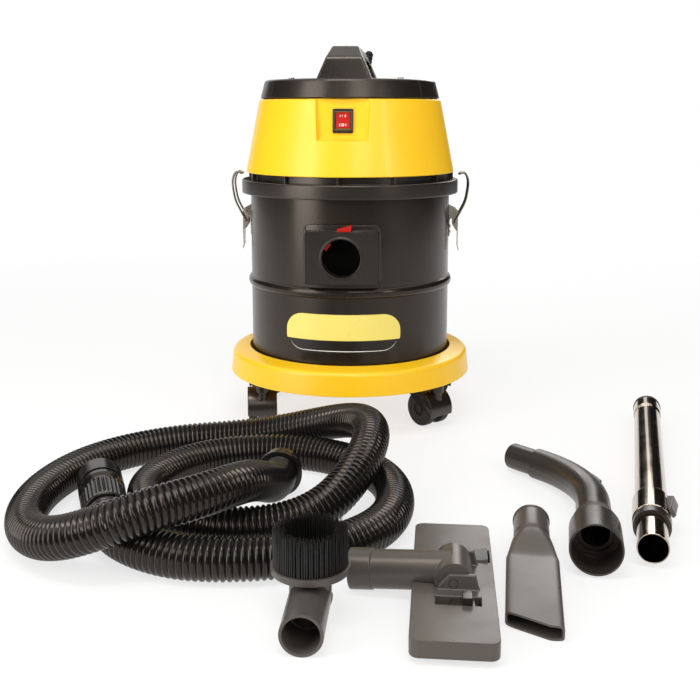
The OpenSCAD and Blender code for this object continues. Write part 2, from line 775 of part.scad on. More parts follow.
bezel_t = 3;
rocker_w = switch_w - 9;
rocker_h = switch_h - 9;
rocker_pivot = 4;       // how far behind the bezel's face the rocker turns
rocker_angle = 8;

module rocker_pin(extra) {
    translate([-rocker_w / 2 - 1.4, rocker_pivot, 0]) rotate([0, 90, 0])
        cylinder(r = 1.2 + extra, h = rocker_w + 2.8);
}

module switch_bezel() {
    color(black) at_switch() {
        difference() {
            upright(-bezel_t, -0.05) rounded_square(switch_w, switch_h, 2);
            upright(-bezel_t - 1, 1) square([rocker_w + 2, rocker_h + 2], center = true);
        }
        difference() {
            upright(-1, 22) square([cutout_w - 0.6, cutout_h - 0.6], center = true);
            upright(-2, 15) square([rocker_w + 1.6, rocker_h + 1.6], center = true);
            rocker_pin(run_gap);
        }
        for (x = [-6, 6]) upright(21, 29) translate([x, 0]) square([0.9, 6], center = true);
    }
}

module switch_rocker() {
    color(red) at_switch() {
        rocker_pin(0);
        translate([0, rocker_pivot, 0]) rotate([-rocker_angle, 0, 0]) rotate([90, 0, 90])
            translate([0, 0, -rocker_w / 2]) linear_extrude(rocker_w) polygon([
                [-rocker_pivot - 3.4, -rocker_h / 2 + 1.5], [-rocker_pivot - 1.6, 0],
                [-rocker_pivot - 3.4, rocker_h / 2 - 1.5], [-rocker_pivot - 1.4, rocker_h / 2 - 0.6],
                [5, 6], [5, -6], [-rocker_pivot - 1.4, -rocker_h / 2 + 0.6]]);
    }
}

// ---- motor ----
fan_case_z = head_z + deck_t;
frame_z = fan_case_z + fan_case_h;
bearing_h = 8;
bearing_r = 11;
shaft_z0 = fan_case_z + 11;    // clear of the float ball at its seat
core_z = frame_z + 10;
core_h = 28;
core_r = 24;
commutator_z = core_z + core_h + 4;
commutator_h = 9;
frame_wall = 2;
motor_top = frame_z + motor_h;

vent_w = 16;
vent_drop = 14;

module motor_fan_housing() {
    color(steel) at_machine() difference() {
        translate([0, 0, fan_case_z]) cylinder(r = fan_case_r, h = fan_case_h);
        translate([0, 0, fan_case_z + 1.5]) cylinder(r = fan_case_r - 1.5, h = fan_case_h - 3);
        translate([0, 0, fan_case_z - 1]) cylinder(r = intake_r, h = 5);
        translate([0, 0, frame_z - 5]) cylinder(r = shaft_r + 6, h = 6);
        for (i = [0 : 11]) rotate([0, 0, i * 30])
            translate([fan_case_r - 4, -vent_w / 2, frame_z - vent_drop]) cube([8, vent_w, vent_w / 2]);
    }
}

module motor_fan() {
    fan_r = fan_case_r - 10;
    color(steel) at_machine() translate([0, 0, fan_case_z + 8]) {
        difference() {
            union() {
                ring(fan_r, intake_r - 2, 0, 1);
                translate([0, 0, 13]) cylinder(r = fan_r, h = 1);
                translate([0, 0, 8]) cylinder(r = 10, h = 14);
                for (i = [0 : blade_count - 1]) rotate([0, 0, i * 360 / blade_count])
                    translate([intake_r, 0, 0.5]) rotate([0, 0, 24]) cube([fan_r - intake_r - 6, 1.2, 13]);
            }
            translate([0, 0, -5]) cylinder(r = shaft_r + 0.02, h = 40);
        }
    }
}

module motor_frame() {
    color(dark_grey) at_machine() difference() {
        union() {
            ring(motor_r, motor_r - frame_wall, frame_z, motor_h - 4);
            translate([0, 0, frame_z]) cylinder(r = motor_r, h = 2);
            translate([0, 0, frame_z]) cylinder(r = bearing_r + 2.5, h = bearing_h + 1);
            translate([0, 0, motor_top - 4]) cylinder(r = motor_r, h = 2);
            translate([0, 0, motor_top - bearing_h - 2]) cylinder(r = bearing_r + 2.5, h = bearing_h + 2);
        }
        translate([0, 0, frame_z - 1]) cylinder(r = shaft_r + 2, h = motor_h + 2);
        translate([0, 0, frame_z + 1]) cylinder(r = bearing_r + 0.02, h = bearing_h + 0.5);
        translate([0, 0, motor_top - bearing_h - 2.5]) cylinder(r = bearing_r + 0.02, h = bearing_h + 1);
        for (i = [0 : 5]) rotate([0, 0, i * 60 + 30]) translate([bearing_r + 10, -7, motor_top - 6])
            cube([18, 14, 8]);
        for (s = [0, 180]) rotate([0, 0, s]) translate([motor_r - 6, -5.2, commutator_z - 0.7])
            cube([10, 10.4, commutator_h + 1.4]);
    }
}

module motor_stator() {
    color(dark_grey) at_machine() difference() {
        translate([0, 0, core_z]) cylinder(r = motor_r - frame_wall - 0.1, h = core_h);
        translate([0, 0, core_z - 1]) cylinder(r = core_r + 0.8, h = core_h + 2);
        for (s = [0, 180]) rotate([0, 0, s + 90]) translate([core_r + 6, -12, core_z - 1])
            cube([8, 24, core_h + 2]);
    }
}

module motor_armature() {
    color(steel) at_machine() {
        translate([0, 0, shaft_z0]) cylinder(r = shaft_r, h = motor_top - 3 - shaft_z0);
        translate([0, 0, core_z]) cylinder(r = core_r, h = core_h);
        translate([0, 0, commutator_z]) cylinder(r = 13, h = commutator_h);
    }
}

module motor_bearings() {
    color(chrome) at_machine() {
        ring(bearing_r, shaft_r + 0.05, frame_z + 1.2, bearing_h);
        ring(bearing_r, shaft_r + 0.05, motor_top - bearing_h - 1.6, bearing_h);
    }
}

module carbon_brushes() {
    color(dark_grey) at_machine() for (s = [0, 180]) rotate([0, 0, s])
        translate([13.2, -5, commutator_z]) cube([motor_r - 10.5, 10, commutator_h - 0.4]);
}

// ---- float and filter ----
cage_wall = 2;
cage_z = head_z - cage_h;
cage_hole_r = 12;
// The ball rests in the hole of the cage's floor.
float_rest_z = cage_z + cage_wall + sqrt(float_r ^ 2 - cage_hole_r ^ 2) + seat_gap;

module float_cage() {
    color(black) at_machine() difference() {
        union() {
            ring(cage_r, cage_r - cage_wall, cage_z, cage_h);
            ring(cage_r + 6, cage_r - 1, head_z - 3, 3);
            translate([0, 0, cage_z]) cylinder(r = cage_r, h = cage_wall);
        }
        translate([0, 0, cage_z - 1]) cylinder(r = cage_hole_r, h = cage_wall + 2);
        for (i = [0 : 7]) rotate([0, 0, i * 45]) translate([cage_r - 6, -7, cage_z + 14])
            cube([12, 14, cage_h - 40]);
    }
}

module float_ball() {
    color(red) at_machine() translate([0, 0, float_rest_z]) sphere(r = float_r);
}

bag_top = head_z - 0.3;
bag_z = bag_top - bag_h;

module filter_bag() {
    color(cloth) at_machine() rotate_extrude() polygon([
        [0, bag_z], [bag_r - 40, bag_z], [bag_r - 22, bag_z + 6],
        [bag_r - 10, bag_z + 20], [bag_r, bag_top], [bag_r - bag_t, bag_top], [bag_r - 10 - bag_t, bag_z + 21],
        [bag_r - 24, bag_z + 6 + bag_t], [bag_r - 41, bag_z + bag_t], [0, bag_z + bag_t]]);
}

// ---- hose: a cubic B-spline through round points, measured from the coil's middle ----
hose_points = [
    [64, 88, 27.5], [64, 66, 27.5], [64, 44, 27.5], [64, 20, 28], [64, -6, 33], [63, -34, 44],
    [59, -64, 58], [50, -96, 70], [34, -128, 74], [8, -158, 74], [-28, -183, 72], [-68, -194, 60],
    [-108, -188, 43], [-146, -164, 29], [-176, -128, 22], [-194, -84, 22], [-200, -36, 22], [-196, 14, 22],
    [-182, 62, 22], [-156, 104, 22], [-120, 138, 22], [-78, 164, 22], [-32, 180, 22], [16, 186, 25],
    [62, 182, 35], [104, 168, 49], [140, 142, 63], [164, 106, 72], [174, 62, 73], [170, 14, 66],
    [156, -30, 50], [132, -66, 33], [98, -92, 24], [58, -106, 22], [16, -108, 22], [-20, -98, 22],
    [-50, -76, 22], [-72, -44, 22], [-84, -6, 22], [-80, 34, 22], [-62, 72, 22], [-34, 104, 22],
    [6, 126, 22], [50, 134, 22], [94, 128, 22], [136, 108, 22], [169, 78, 22], [192, 40, 22],
    [203, -4, 22], [203, -50, 22], [190, -94, 22], [164, -130, 22], [130, -156, 22], [88, -172, 22],
    [44, -180, 22], [2, -180, 22], [-36, -168, 23], [-68, -150, 25.5], [-90, -122, 25.75],
    [-102, -92, 25.75], [-114, -62, 25.75]];

function spline_at(u) =
    let (i = min(floor(u), len(hose_points) - 4), t = u - i)
    ((1 - t) ^ 3 * hose_points[i] + (3 * t ^ 3 - 6 * t ^ 2 + 4) * hose_points[i + 1]
        + (-3 * t ^ 3 + 3 * t ^ 2 + 3 * t + 1) * hose_points[i + 2] + t ^ 3 * hose_points[i + 3]) / 6;

spline_end = len(hose_points) - 3;
fine_count = 900;
fine_points = [for (i = [0 : fine_count]) spline_at(spline_end * i / fine_count)];
fine_steps = [for (i = [1 : fine_count]) norm(fine_points[i] - fine_points[i - 1])];
fine_table = [for (i = 0, s = 0; i <= fine_count; s = s + (i < fine_count ? fine_steps[i] : 0), i = i + 1)
    [s, spline_end * i / fine_count]];
hose_length = fine_table[fine_count][0];

function hose_point(s) = spline_at(lookup(s, fine_table));
function hose_heading(s) = let (a = hose_point(max(s - 2, 0)), b = hose_point(min(s + 2, hose_length)))
    (b - a) / norm(b - a);
function hose_side(s) = let (h = hose_heading(s)) [h[1], -h[0], 0] / norm([h[0], h[1]]);

hose_sides = 8;

// One ring of the hose: points round its middle line at distance s along it.
function hose_ring(s, r) =
    let (p = hose_point(s), side = hose_side(s), up = cross(side, hose_heading(s)))
    [for (k = [0 : hose_sides - 1])
        let (a = 360 * (k + 0.5) / hose_sides) p + r * (cos(a) * side + sin(a) * up)];

outer_steps = 2 * rib_count;
bore_every = 5;
bore_steps = outer_steps / bore_every;

function cap_faces(outer, inner, far) = [for (k = [0 : hose_sides - 1])
    let (a = outer + k, b = outer + (k + 1) % hose_sides, c = inner + (k + 1) % hose_sides, d = inner + k)
    each far ? [[a, b, c], [a, c, d]] : [[a, c, b], [a, d, c]]];

module hose() {
    outer = [for (j = [0 : outer_steps]) each hose_ring(hose_length * j / outer_steps,
        hose_r - (j % 2 == 0 ? rib_depth : 0))];
    inner = [for (j = [0 : bore_steps]) each hose_ring(hose_length * j / bore_steps, hose_bore_r)];
    first_inner = len(outer);
    color(black) translate([set_x + coil_at[0], set_y + coil_at[1], 0]) polyhedron(
        points = concat(outer, inner),
        faces = concat(strip_faces(0, outer_steps, hose_sides),
            strip_faces(first_inner, bore_steps, hose_sides, true),
            cap_faces(0, first_inner, false),
            cap_faces(outer_steps * hose_sides, first_inner + bore_steps * hose_sides, true)));
}

// Least gap between parts of the hose that are more than four diameters apart along it.
gap_samples = [for (i = [0 : 3 : fine_count]) [fine_table[i][0], fine_points[i]]];
hose_gap = min([for (a = gap_samples, b = gap_samples) if (b[0] - a[0] > 8 * hose_r) norm(a[1] - b[1])])
    - 2 * hose_r;
echo(hose_length = hose_length, hose_gap = hose_gap);

// The frame at distance s along the hose, Y pointing along it.
module at_hose(s) {
    p = hose_point(s);
    h = hose_heading(s);
    translate([set_x + coil_at[0] + p[0], set_y + coil_at[1] + p[1], p[2]])
        rotate([0, 0, atan2(h[1], h[0]) - 90]) children();
}

cuff_waist_r = cuff_r - 2.2;
cuff_grip_l = 52;
cuff_shoulder_l = 16;
cuff_groove_at = 32;    // from the cuff's free end, for the catch's tooth

module hose_cuff() {
    shoulder_y = cuff_grip_l + cuff_shoulder_l;
    color(black) at_hose(hose_length) difference() {
        union() {
            along_y(cuff_r - 0.4, 0, cuff_grip_l);
            translate([0, shoulder_y, 0]) rotate([90, 0, 0])
                cylinder(r1 = cuff_r, r2 = cuff_waist_r, h = cuff_shoulder_l);
            along_y(cuff_r, shoulder_y, cuff_l);
        }
        along_y(hose_bore_r, -1, cuff_grip_l + 4);
        along_y(cuff_r - 4.75, cuff_grip_l + 4, cuff_l + 1);
        tube_y(cuff_r + 1, tooth_r - 0.1, cuff_l - cuff_groove_at - catch_t - 1, cuff_l - cuff_groove_at);
    }
}

collar_s = 30;

module hose_collar() {
    flange_r = 27.5;
    color(black) at_hose(collar_s) difference() {
        union() {
            along_y(collar_r, -collar_l, -4);
            along_y(flange_r, -4.5, 0);
        }
        along_y(hose_r + seat_gap, -collar_l - 1, 1);
    }
}

// ---- wand, along +Y from its open inner end, catch on its right side ----
flare_r = wand_r + 3;
flare_l = 58;
wand_collar_l = 14;
flare_y = wand_show + wand_collar_l;
wand_bore_r = spigot_r + 0.5;
socket_bore_r = spigot_r + socket_gap;
inner_hidden = 390;
catch_l = 44;
catch_side = 28;        // the catch leans this far up from the wand's side
catch_travel = 7;
catch_y0 = flare_y + 6;
tongue_y = catch_y0 + 12;
tongue_l = catch_l - 26;
tongue_w = 8;

module at_wand() {
    laid(wand_at, wand_turn, flare_r) children();
}

module wand_outer() {
    color(chrome) at_wand() difference() {
        union() {
            along_y(flare_r, flare_y, flare_y + flare_l);
            along_y(wand_r, flare_y, wand_l - 5);
            along_y(socket_r, wand_l - wand_socket_l, wand_l);
        }
        along_y(wand_bore_r, flare_y - 1, wand_l - wand_socket_l + 2);
        along_y(socket_bore_r, wand_l - wand_socket_l + 2 - eps, wand_l + 1);
        rotate([0, -catch_side, 0]) translate([wand_bore_r - 2, tongue_y - move_gap, -tongue_w / 2 - move_gap])
            cube([10, tongue_l + catch_travel + 2 * move_gap, tongue_w + 2 * move_gap]);
    }
}

spigot_end_y = wand_show - 6;   // the inner tube is drawn in behind its spigot
inner_r = spigot_r - 0.4;

module wand_inner() {
    color(chrome) at_wand() difference() {
        union() {
            along_y(spigot_r, 0, spigot_end_y);
            along_y(inner_r, 1, flare_y + inner_hidden - wand_collar_l);
        }
        along_y(spigot_r - 1.2, -1, flare_y + inner_hidden);
    }
}

module wand_collar() {
    color(black) at_wand() tube_y(socket_r + 0.4, inner_r + run_gap, wand_show, flare_y - 0.05);
}

module wand_catch() {
    color(black) at_wand() rotate([0, -catch_side, 0]) {
        translate([0, 0, -6]) linear_extrude(12) polygon([
            [flare_r + 0.15, catch_y0], [flare_r + 0.15, catch_y0 + catch_l - 6],
            [flare_r + 2, catch_y0 + catch_l - 8], [flare_r + 8, catch_y0 + catch_l - 14],
            [flare_r + 4, catch_y0 + 2]]);
        translate([spigot_r + 0.9, tongue_y, -tongue_w / 2]) cube([flare_r - spigot_r, tongue_l, tongue_w]);
    }
}

// ---- grip: cuff at its near end, bending to the left ----
grip_bore_r = spigot_r - 1.5;
grip_cuff_l = 54;
spigot_l = 45;

grip_collar_l = 8;      // the tube's last stretch, before the spigot
bow_end_y = grip_straight_l + grip_bend_r * sin(grip_bend) + grip_collar_l * cos(grip_bend);
// The cuff's shoulder and the bow's end both rest on the floor.
grip_dip = asin((grip_cuff_r - grip_r) / (bow_end_y - grip_cuff_l));

module at_grip() {
    laid(grip_at, grip_turn, grip_cuff_r * cos(grip_dip) + grip_cuff_l * sin(grip_dip))
        rotate([-grip_dip, 0, 0]) children();
}

// A flat outline, about the tube's middle, swept round the grip's bend.
module grip_bow(from = 0, to = grip_bend) {
    translate([-grip_bend_r, grip_straight_l, 0]) rotate([0, 0, from])
        rotate_extrude(angle = to - from, $fn = 128) translate([grip_bend_r, 0]) children();
}

module grip_far_end() {
    translate([-grip_bend_r, grip_straight_l, 0]) rotate([0, 0, grip_bend]) translate([grip_bend_r, 0, 0])
        children();
}

module grip_tube() {
    color(dark_grey) at_grip() difference() {
        union() {
            along_y(grip_r, grip_cuff_l - 8, grip_straight_l);
            grip_bow() circle(r = grip_r);
            grip_far_end() along_y(grip_r, 0, grip_collar_l);
            grip_far_end() along_y(spigot_r, grip_collar_l, spigot_l);
        }
        along_y(grip_bore_r, 0, grip_straight_l);
        grip_bow() circle(r = grip_bore_r);
        grip_far_end() along_y(grip_bore_r, 0, spigot_l + 1);
    }
}

module grip_cuff() {
    shoulder = 30;
    color(dark_grey) at_grip() difference() {
        union() {
            along_y(grip_cuff_r, 0, grip_cuff_l);
            translate([0, grip_cuff_l, 0]) rotate([-90, 0, 0])
                cylinder(r1 = grip_cuff_r, r2 = grip_r + 2.2, h = shoulder);
        }
        along_y(collar_r + 0.25, -1, grip_cuff_l - 12);
        along_y(grip_r + 0.15, grip_cuff_l - 12 - eps, grip_cuff_l + shoulder + 1);
        translate([grip_cuff_r, 9, 0]) cube([8, 7, 7], center = true);
    }
}

regulator_from = 20;
regulator_to = 42;
regulator_w = 14;
regulator_t = 4.4;

module grip_regulator() {
    color(black) at_grip() grip_bow(regulator_from, regulator_to) difference() {
        translate([grip_r - 4, -regulator_w / 2]) square([4 + regulator_t, regulator_w]);
        circle(r = grip_r + 0.3);
    }
}

// ---- crevice tool, its mouth at y = 0 and its socket at the far end ----
crevice_neck_y = crevice_l - socket_l;
crevice_shoulder_l = 50;
crevice_slant = 18;     // how much shorter the mouth is on one side
crevice_wall = 2;
// The mouth's edge and the socket both rest on the floor.
crevice_dip = atan2(socket_r - crevice_t / 2, crevice_neck_y);

module at_crevice() {
    laid(crevice_at, crevice_turn) translate([0, crevice_neck_y, socket_r]) rotate([crevice_dip, 0, 0])
        translate([0, -crevice_neck_y, 0]) children();
}

module crevice_tool() {
    body_y = crevice_neck_y - crevice_shoulder_l;
    spine_l = 80;
    color(dark_grey) at_crevice() difference() {
        union() {
            along_y(socket_r, crevice_neck_y, crevice_l);
            hull() {
                along_y(socket_r - 1.2, crevice_neck_y - 6, crevice_neck_y + 1, $fn = 32);
                translate([-crevice_w / 2, body_y, -crevice_t / 2]) cube([crevice_w, 1, crevice_t]);
            }
            translate([0, 0, -crevice_t / 2]) linear_extrude(crevice_t) polygon([
                [-crevice_w / 2, crevice_slant],
                [crevice_w / 2 - 12, 0], [crevice_w / 2, 0], [crevice_w / 2, body_y + 1],
                [-crevice_w / 2, body_y + 1]]);
            translate([0, crevice_neck_y - 5, 2]) rotate([90, 0, 0])
                cylinder(r1 = socket_r - 4, r2 = 2, h = spine_l);
        }
        along_y(socket_bore_r, crevice_neck_y + 1, crevice_l + 1);
        along_y(spigot_r - 2, crevice_neck_y - 12, crevice_neck_y + 2);
        translate([-crevice_w / 2 + crevice_wall, -1, -crevice_t / 2 + crevice_wall])
            cube([crevice_w - 2 * crevice_wall, body_y + 30, crevice_t - 2 * crevice_wall]);
    }
}

// ---- floor tool: plate along Y, neck swinging about Y, pointing to -X ----
well_w = 46;
plate_top = strip_h + floor_t;
neck_z = plate_top + 5;
neck_pivot_r = 17.5;
neck_pin_r = 4;
neck_turn = 7;
neck_r = socket_r - 1;
neck_end_l = 22;
// The neck's end rests on the floor.
neck_dip = asin((neck_z - socket_r - 0.3) / neck_l);
cheek_t = 5;
pedal_at = [18, 44];
pedal_size = [34, 26];
pedal_pin_r = 1.5;
lever_at = [4, -48];
lever_slot = [40, 16];
pocket_t = 10;
strip_x = 26;
strip_w = 5;
strip_hold = 5;         // how much of a strip stands in its slot
strip_lift = 4;         // how far the pedal draws the strips in
strip_ends = [[-strip_x, floor_l / 2 - 14, 30], [-strip_x, -30, -floor_l / 2 + 14],
    [strip_x, floor_l / 2 - 14, -floor_l / 2 + 14]];

module each_strip(extra) {
    for (e = strip_ends) translate([e[0] - strip_w / 2 - extra, e[2] < e[1] ? e[2] - extra : e[1] - extra, 0])
        linear_extrude(strip_h + strip_hold + (extra > 0 ? strip_lift + extra : 0))
            square([strip_w + 2 * extra, abs(e[1] - e[2]) + 2 * extra]);
}

cheek_back = 14;
cheek_front = 26;

module floor_tool_body() {
    color(dark_grey) laid(floor_at, floor_turn) difference() {
        union() {
            translate([0, 0, strip_h]) linear_extrude(floor_t) rounded_square(floor_w, floor_l, floor_round);
            for (s = [-1, 1]) translate([0, s * (well_w / 2 + cheek_t / 2), 0])
                upright(-cheek_t / 2, cheek_t / 2) polygon([
                    [-cheek_back, strip_h + 4], [cheek_front, strip_h + 4],
                    [cheek_front - 6, neck_z + 9], [-4, neck_z + 9], [-cheek_back, neck_z - 2]]);
        }
        translate([0, 0, neck_z]) along_y(neck_pivot_r + move_gap, -well_w / 2, well_w / 2);
        rotate([0, 0, -neck_turn]) translate([-neck_l, -neck_r - 2 * move_gap, -1])
            cube([neck_l, 2 * neck_r + 4 * move_gap, neck_z + 30]);
        translate([0, 0, neck_z]) along_y(neck_pin_r + run_gap, -well_w, well_w);
        translate([pedal_at[0], pedal_at[1], plate_top]) {
            cube([pedal_size[0], pedal_size[1], 2 * pocket_t], center = true);
            translate([-pedal_size[0] / 2 + 4, 0, -4])
                along_y(pedal_pin_r + run_gap, -pedal_size[1] / 2 - 2, pedal_size[1] / 2 + 2);
        }
        translate([lever_at[0], lever_at[1], plate_top])
            cube([lever_slot[0], lever_slot[1], 2 * pocket_t - 2], center = true);
        translate([0, 0, strip_h - 1]) linear_extrude(5) square([14, floor_l - 40], center = true);
        each_strip(move_gap);
    }
}

module neck_run() {
    rotate([0, 0, -neck_turn]) rotate([0, -90 - neck_dip, 0]) children();
}

module floor_tool_neck() {
    color(dark_grey) laid(floor_at, floor_turn, neck_z) {
        difference() {
            union() {
                along_y(neck_pivot_r, -well_w / 2 + move_gap, well_w / 2 - move_gap);
                neck_run() cylinder(r = neck_r, h = neck_l - neck_end_l / 2);
                neck_run() translate([0, 0, neck_l - neck_end_l]) cylinder(r = socket_r, h = neck_end_l);
            }
            neck_run() translate([0, 0, neck_l - 40]) cylinder(r = socket_bore_r, h = 41);
            neck_run() cylinder(r = spigot_r - 2, h = neck_l);
            translate([0, 0, -10]) cube([14, 30, 20], center = true);
        }
        for (s = [0, 1]) mirror([0, s, 0]) along_y(neck_pin_r, well_w / 2 - 5, well_w / 2 + cheek_t);
    }
}

module floor_tool_pedal() {
    half = pedal_size[0] / 2 - move_gap;
    width = pedal_size[1] - 2 * move_gap;
    color([0.42, 0.43, 0.42]) laid(floor_at, floor_turn, plate_top) translate([pedal_at[0], pedal_at[1], 0]) {
        upright(-width / 2, width / 2) polygon([[-half, -6], [half - 1, -3], [half - 1, 3], [0, 0.6],
            [-half, 1]]);
        translate([-pedal_size[0] / 2 + 4, 0, -4]) along_y(pedal_pin_r, -pedal_size[1] / 2 - 1.8,
            pedal_size[1] / 2 + 1.8);
    }
}

module floor_tool_lever() {
    slider_w = lever_slot[1] - 2 * move_gap;
    color(black) laid(floor_at, floor_turn, plate_top) translate([lever_at[0], lever_at[1], 0]) {
        translate([4, 0, -5.2]) cube([22, slider_w, 7], center = true);
        translate([8, 0, 2]) cube([9, slider_w, 9], center = true);
    }
}

module floor_tool_bristles() {
    color(black) laid(floor_at, floor_turn) each_strip(0);
}

// ---- dusting brush: tube along the floor, bristles up ----
brush_tube_l = 72;
brush_base_z = 40;
brush_base_h = 10;

module dust_brush_body() {
    color(dark_grey) laid(brush_at, 0) difference() {
        union() {
            translate([0, 0, socket_r]) along_y(socket_r, 0, brush_tube_l);
            translate([0, brush_tube_l, socket_r]) sphere(r = socket_r - run_gap);
            translate([0, brush_tube_l, socket_r]) cylinder(r = socket_r, h = brush_base_z - socket_r + 1);
            translate([0, brush_tube_l, brush_base_z]) cylinder(r1 = brush_r - 8, r2 = brush_r, h = 4);
            translate([0, brush_tube_l, brush_base_z + 4]) cylinder(r = brush_r, h = brush_base_h - 4);
        }
        translate([0, 0, socket_r]) along_y(socket_bore_r, -1, 40);
        translate([0, 0, socket_r]) along_y(spigot_r - 2, 39, brush_tube_l);
        translate([0, brush_tube_l, socket_r]) cylinder(r = spigot_r - 2, h = 60);
    }
}

module dust_brush_bristles() {
    color(black) laid(brush_at, 0) translate([0, brush_tube_l, brush_base_z + brush_base_h])
        ring(brush_r - 2, brush_r - 13, 0, bristle_l);
}

tank();
tank_gasket();
inlet_housing();
inlet_catch();
inlet_deflector();
label_plate();
base_ring();
caster_stem(0);  // caster_fl_stem
caster_stem(1);  // caster_fr_stem
caster_stem(2);  // caster_rl_stem
caster_stem(3);  // caster_rr_stem
caster_hood(0);  // caster_fl_hood
caster_hood(1);  // caster_fr_hood
caster_hood(2);  // caster_rl_hood
caster_hood(3);  // caster_rr_hood
caster_wheels(0);  // caster_fl_wheels
caster_wheels(1);  // caster_fr_wheels
caster_wheels(2);  // caster_rl_wheels
caster_wheels(3);  // caster_rr_wheels
latch_bracket(true);  // latch_left_bracket
latch_bracket(false);  // latch_right_bracket
latch_lever(true);  // latch_left_lever
latch_lever(false);  // latch_right_lever
latch_bail(true);  // latch_left_bail
latch_bail(false);  // latch_right_bail
head_base();
head_shell();
top_cover();
cover_screws();
cord_gland();
switch_bezel();
switch_rocker();
motor_fan_housing();
motor_fan();
motor_frame();
motor_stator();
motor_armature();
motor_bearings();
carbon_brushes();
float_cage();
float_ball();
filter_bag();
hose();
hose_cuff();
hose_collar();
wand_outer();
wand_inner();
wand_catch();
wand_collar();
grip_tube();
grip_cuff();
grip_regulator();
crevice_tool();
floor_tool_body();
floor_tool_neck();
floor_tool_pedal();
floor_tool_lever();
floor_tool_bristles();
dust_brush_body();
dust_brush_bristles();
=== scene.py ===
"""Looks of a wheeled drum vacuum cleaner with its hose, wand, grip and tools.

Shapes are drawn in millimetres in each piece's own frame, and placed in metres in the frame that
the CAD model uses.
"""

import json
import math
import random

import bmesh
import bpy
import numpy as np
from bpy.props import FloatProperty, FloatVectorProperty, IntProperty, PointerProperty
from bpy.types import Operator, Panel, PropertyGroup
from mathutils import Matrix, Vector
from mathutils.bvhtree import BVHTree

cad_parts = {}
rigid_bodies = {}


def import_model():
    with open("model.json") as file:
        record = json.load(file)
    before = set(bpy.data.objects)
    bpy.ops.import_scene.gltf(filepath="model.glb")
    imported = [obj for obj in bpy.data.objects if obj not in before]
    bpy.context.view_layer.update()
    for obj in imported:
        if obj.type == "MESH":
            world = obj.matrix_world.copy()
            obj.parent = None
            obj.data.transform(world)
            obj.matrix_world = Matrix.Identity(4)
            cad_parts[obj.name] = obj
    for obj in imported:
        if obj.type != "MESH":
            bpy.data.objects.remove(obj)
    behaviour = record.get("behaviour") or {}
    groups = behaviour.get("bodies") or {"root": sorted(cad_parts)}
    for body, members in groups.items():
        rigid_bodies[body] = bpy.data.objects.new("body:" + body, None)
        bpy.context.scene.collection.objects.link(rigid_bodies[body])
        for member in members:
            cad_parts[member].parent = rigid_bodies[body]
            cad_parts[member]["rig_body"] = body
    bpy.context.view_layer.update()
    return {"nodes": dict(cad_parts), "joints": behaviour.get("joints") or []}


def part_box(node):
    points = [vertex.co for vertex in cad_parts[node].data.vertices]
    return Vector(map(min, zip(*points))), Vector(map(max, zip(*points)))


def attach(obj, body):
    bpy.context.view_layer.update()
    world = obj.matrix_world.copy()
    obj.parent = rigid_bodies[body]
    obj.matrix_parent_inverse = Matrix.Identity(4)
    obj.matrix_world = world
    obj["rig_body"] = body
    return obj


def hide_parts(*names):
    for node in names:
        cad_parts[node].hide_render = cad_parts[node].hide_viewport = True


bl_info = {
    "name": "Drum vacuum cleaner",
    "version": (1, 0, 0),
    "blender": (4, 5, 0),
    "location": "View3D > Sidebar > Vacuum",
    "description": "Builds the visible pieces of a drum vacuum cleaner round its CAD frame",
    "category": "Add Mesh",
}

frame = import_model()

MM = 0.001
TO_METRES = Matrix.Scale(MM, 4)
SAME_POINT = 0.002  # CAD points closer than this, in millimetres, are one point
FLAT_ANGLE = 0.6  # CAD faces that meet at less than this, in degrees, are one face
DRESS_CREASE = 30  # CAD faces that meet at more than this, in degrees, keep a sharp edge
JOINTS = {j["name"]: j for j in frame["joints"]}


def box_mm(node):
    """Lowest and highest corner of a CAD node, in millimetres."""
    low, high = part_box(node)
    return low / MM, high / MM


# ---- places, in millimetres ----
TANK_LOW, TANK_HIGH = box_mm("tank")
AXIS = Vector(((TANK_LOW.x + TANK_HIGH.x) / 2, (TANK_LOW.y + TANK_HIGH.y) / 2, 0))
RIM_Z = TANK_HIGH.z
DRUM_Z = TANK_LOW.z
CONE_Z, CONE_TOP = (corner.z for corner in box_mm("head_shell"))
RING_LOW, RING_HIGH = box_mm("base_ring")
BASE_Z = RING_LOW.z
BASE_R = (RING_HIGH.x - RING_LOW.x) / 2
INLET_Z = JOINTS["inlet_catch_turn"]["pos_m"][2] / MM
LATCH_X = JOINTS["latch_right_open"]["pos_m"][0] / MM - AXIS.x
BAIL_Z = JOINTS["bail_right_swing"]["pos_m"][2] / MM

# Where the loose pieces lie, measured from the drum's axis, and how they are turned.
WAND_AT, WAND_TURN = (341, -530), -11.5
GRIP_AT, GRIP_TURN = (281, -556), -8
CREVICE_AT, CREVICE_TURN = (209, -677), -5
FLOOR_AT, FLOOR_TURN = (141, -606), -1
BRUSH_AT = (12, -720)
COIL_AT = (-121, -408)


def turn(angle, axis):
    """A rotation in degrees about an axis."""
    return Matrix.Rotation(math.radians(angle), 4, axis)


def shift(x, y, z):
    """A move in millimetres."""
    return Matrix.Translation((x, y, z))


AT_MACHINE = shift(*AXIS)


def laid(at, angle=0, z=0):
    """Frame of a piece that lies on the floor beside the machine."""
    return AT_MACHINE @ shift(at[0], at[1], z) @ turn(angle, "Z")


def along(point, heading):
    """Frame at a point, its Y axis along a heading, its Z axis as upright as can be."""
    y = Vector(heading).normalized()
    x = y.cross(Vector((0, 0, 1)))
    x = x.normalized() if x.length > 1e-6 else Vector((1, 0, 0))
    z = x.cross(y)
    return shift(*point) @ Matrix((x, y, z)).transposed().to_4x4()


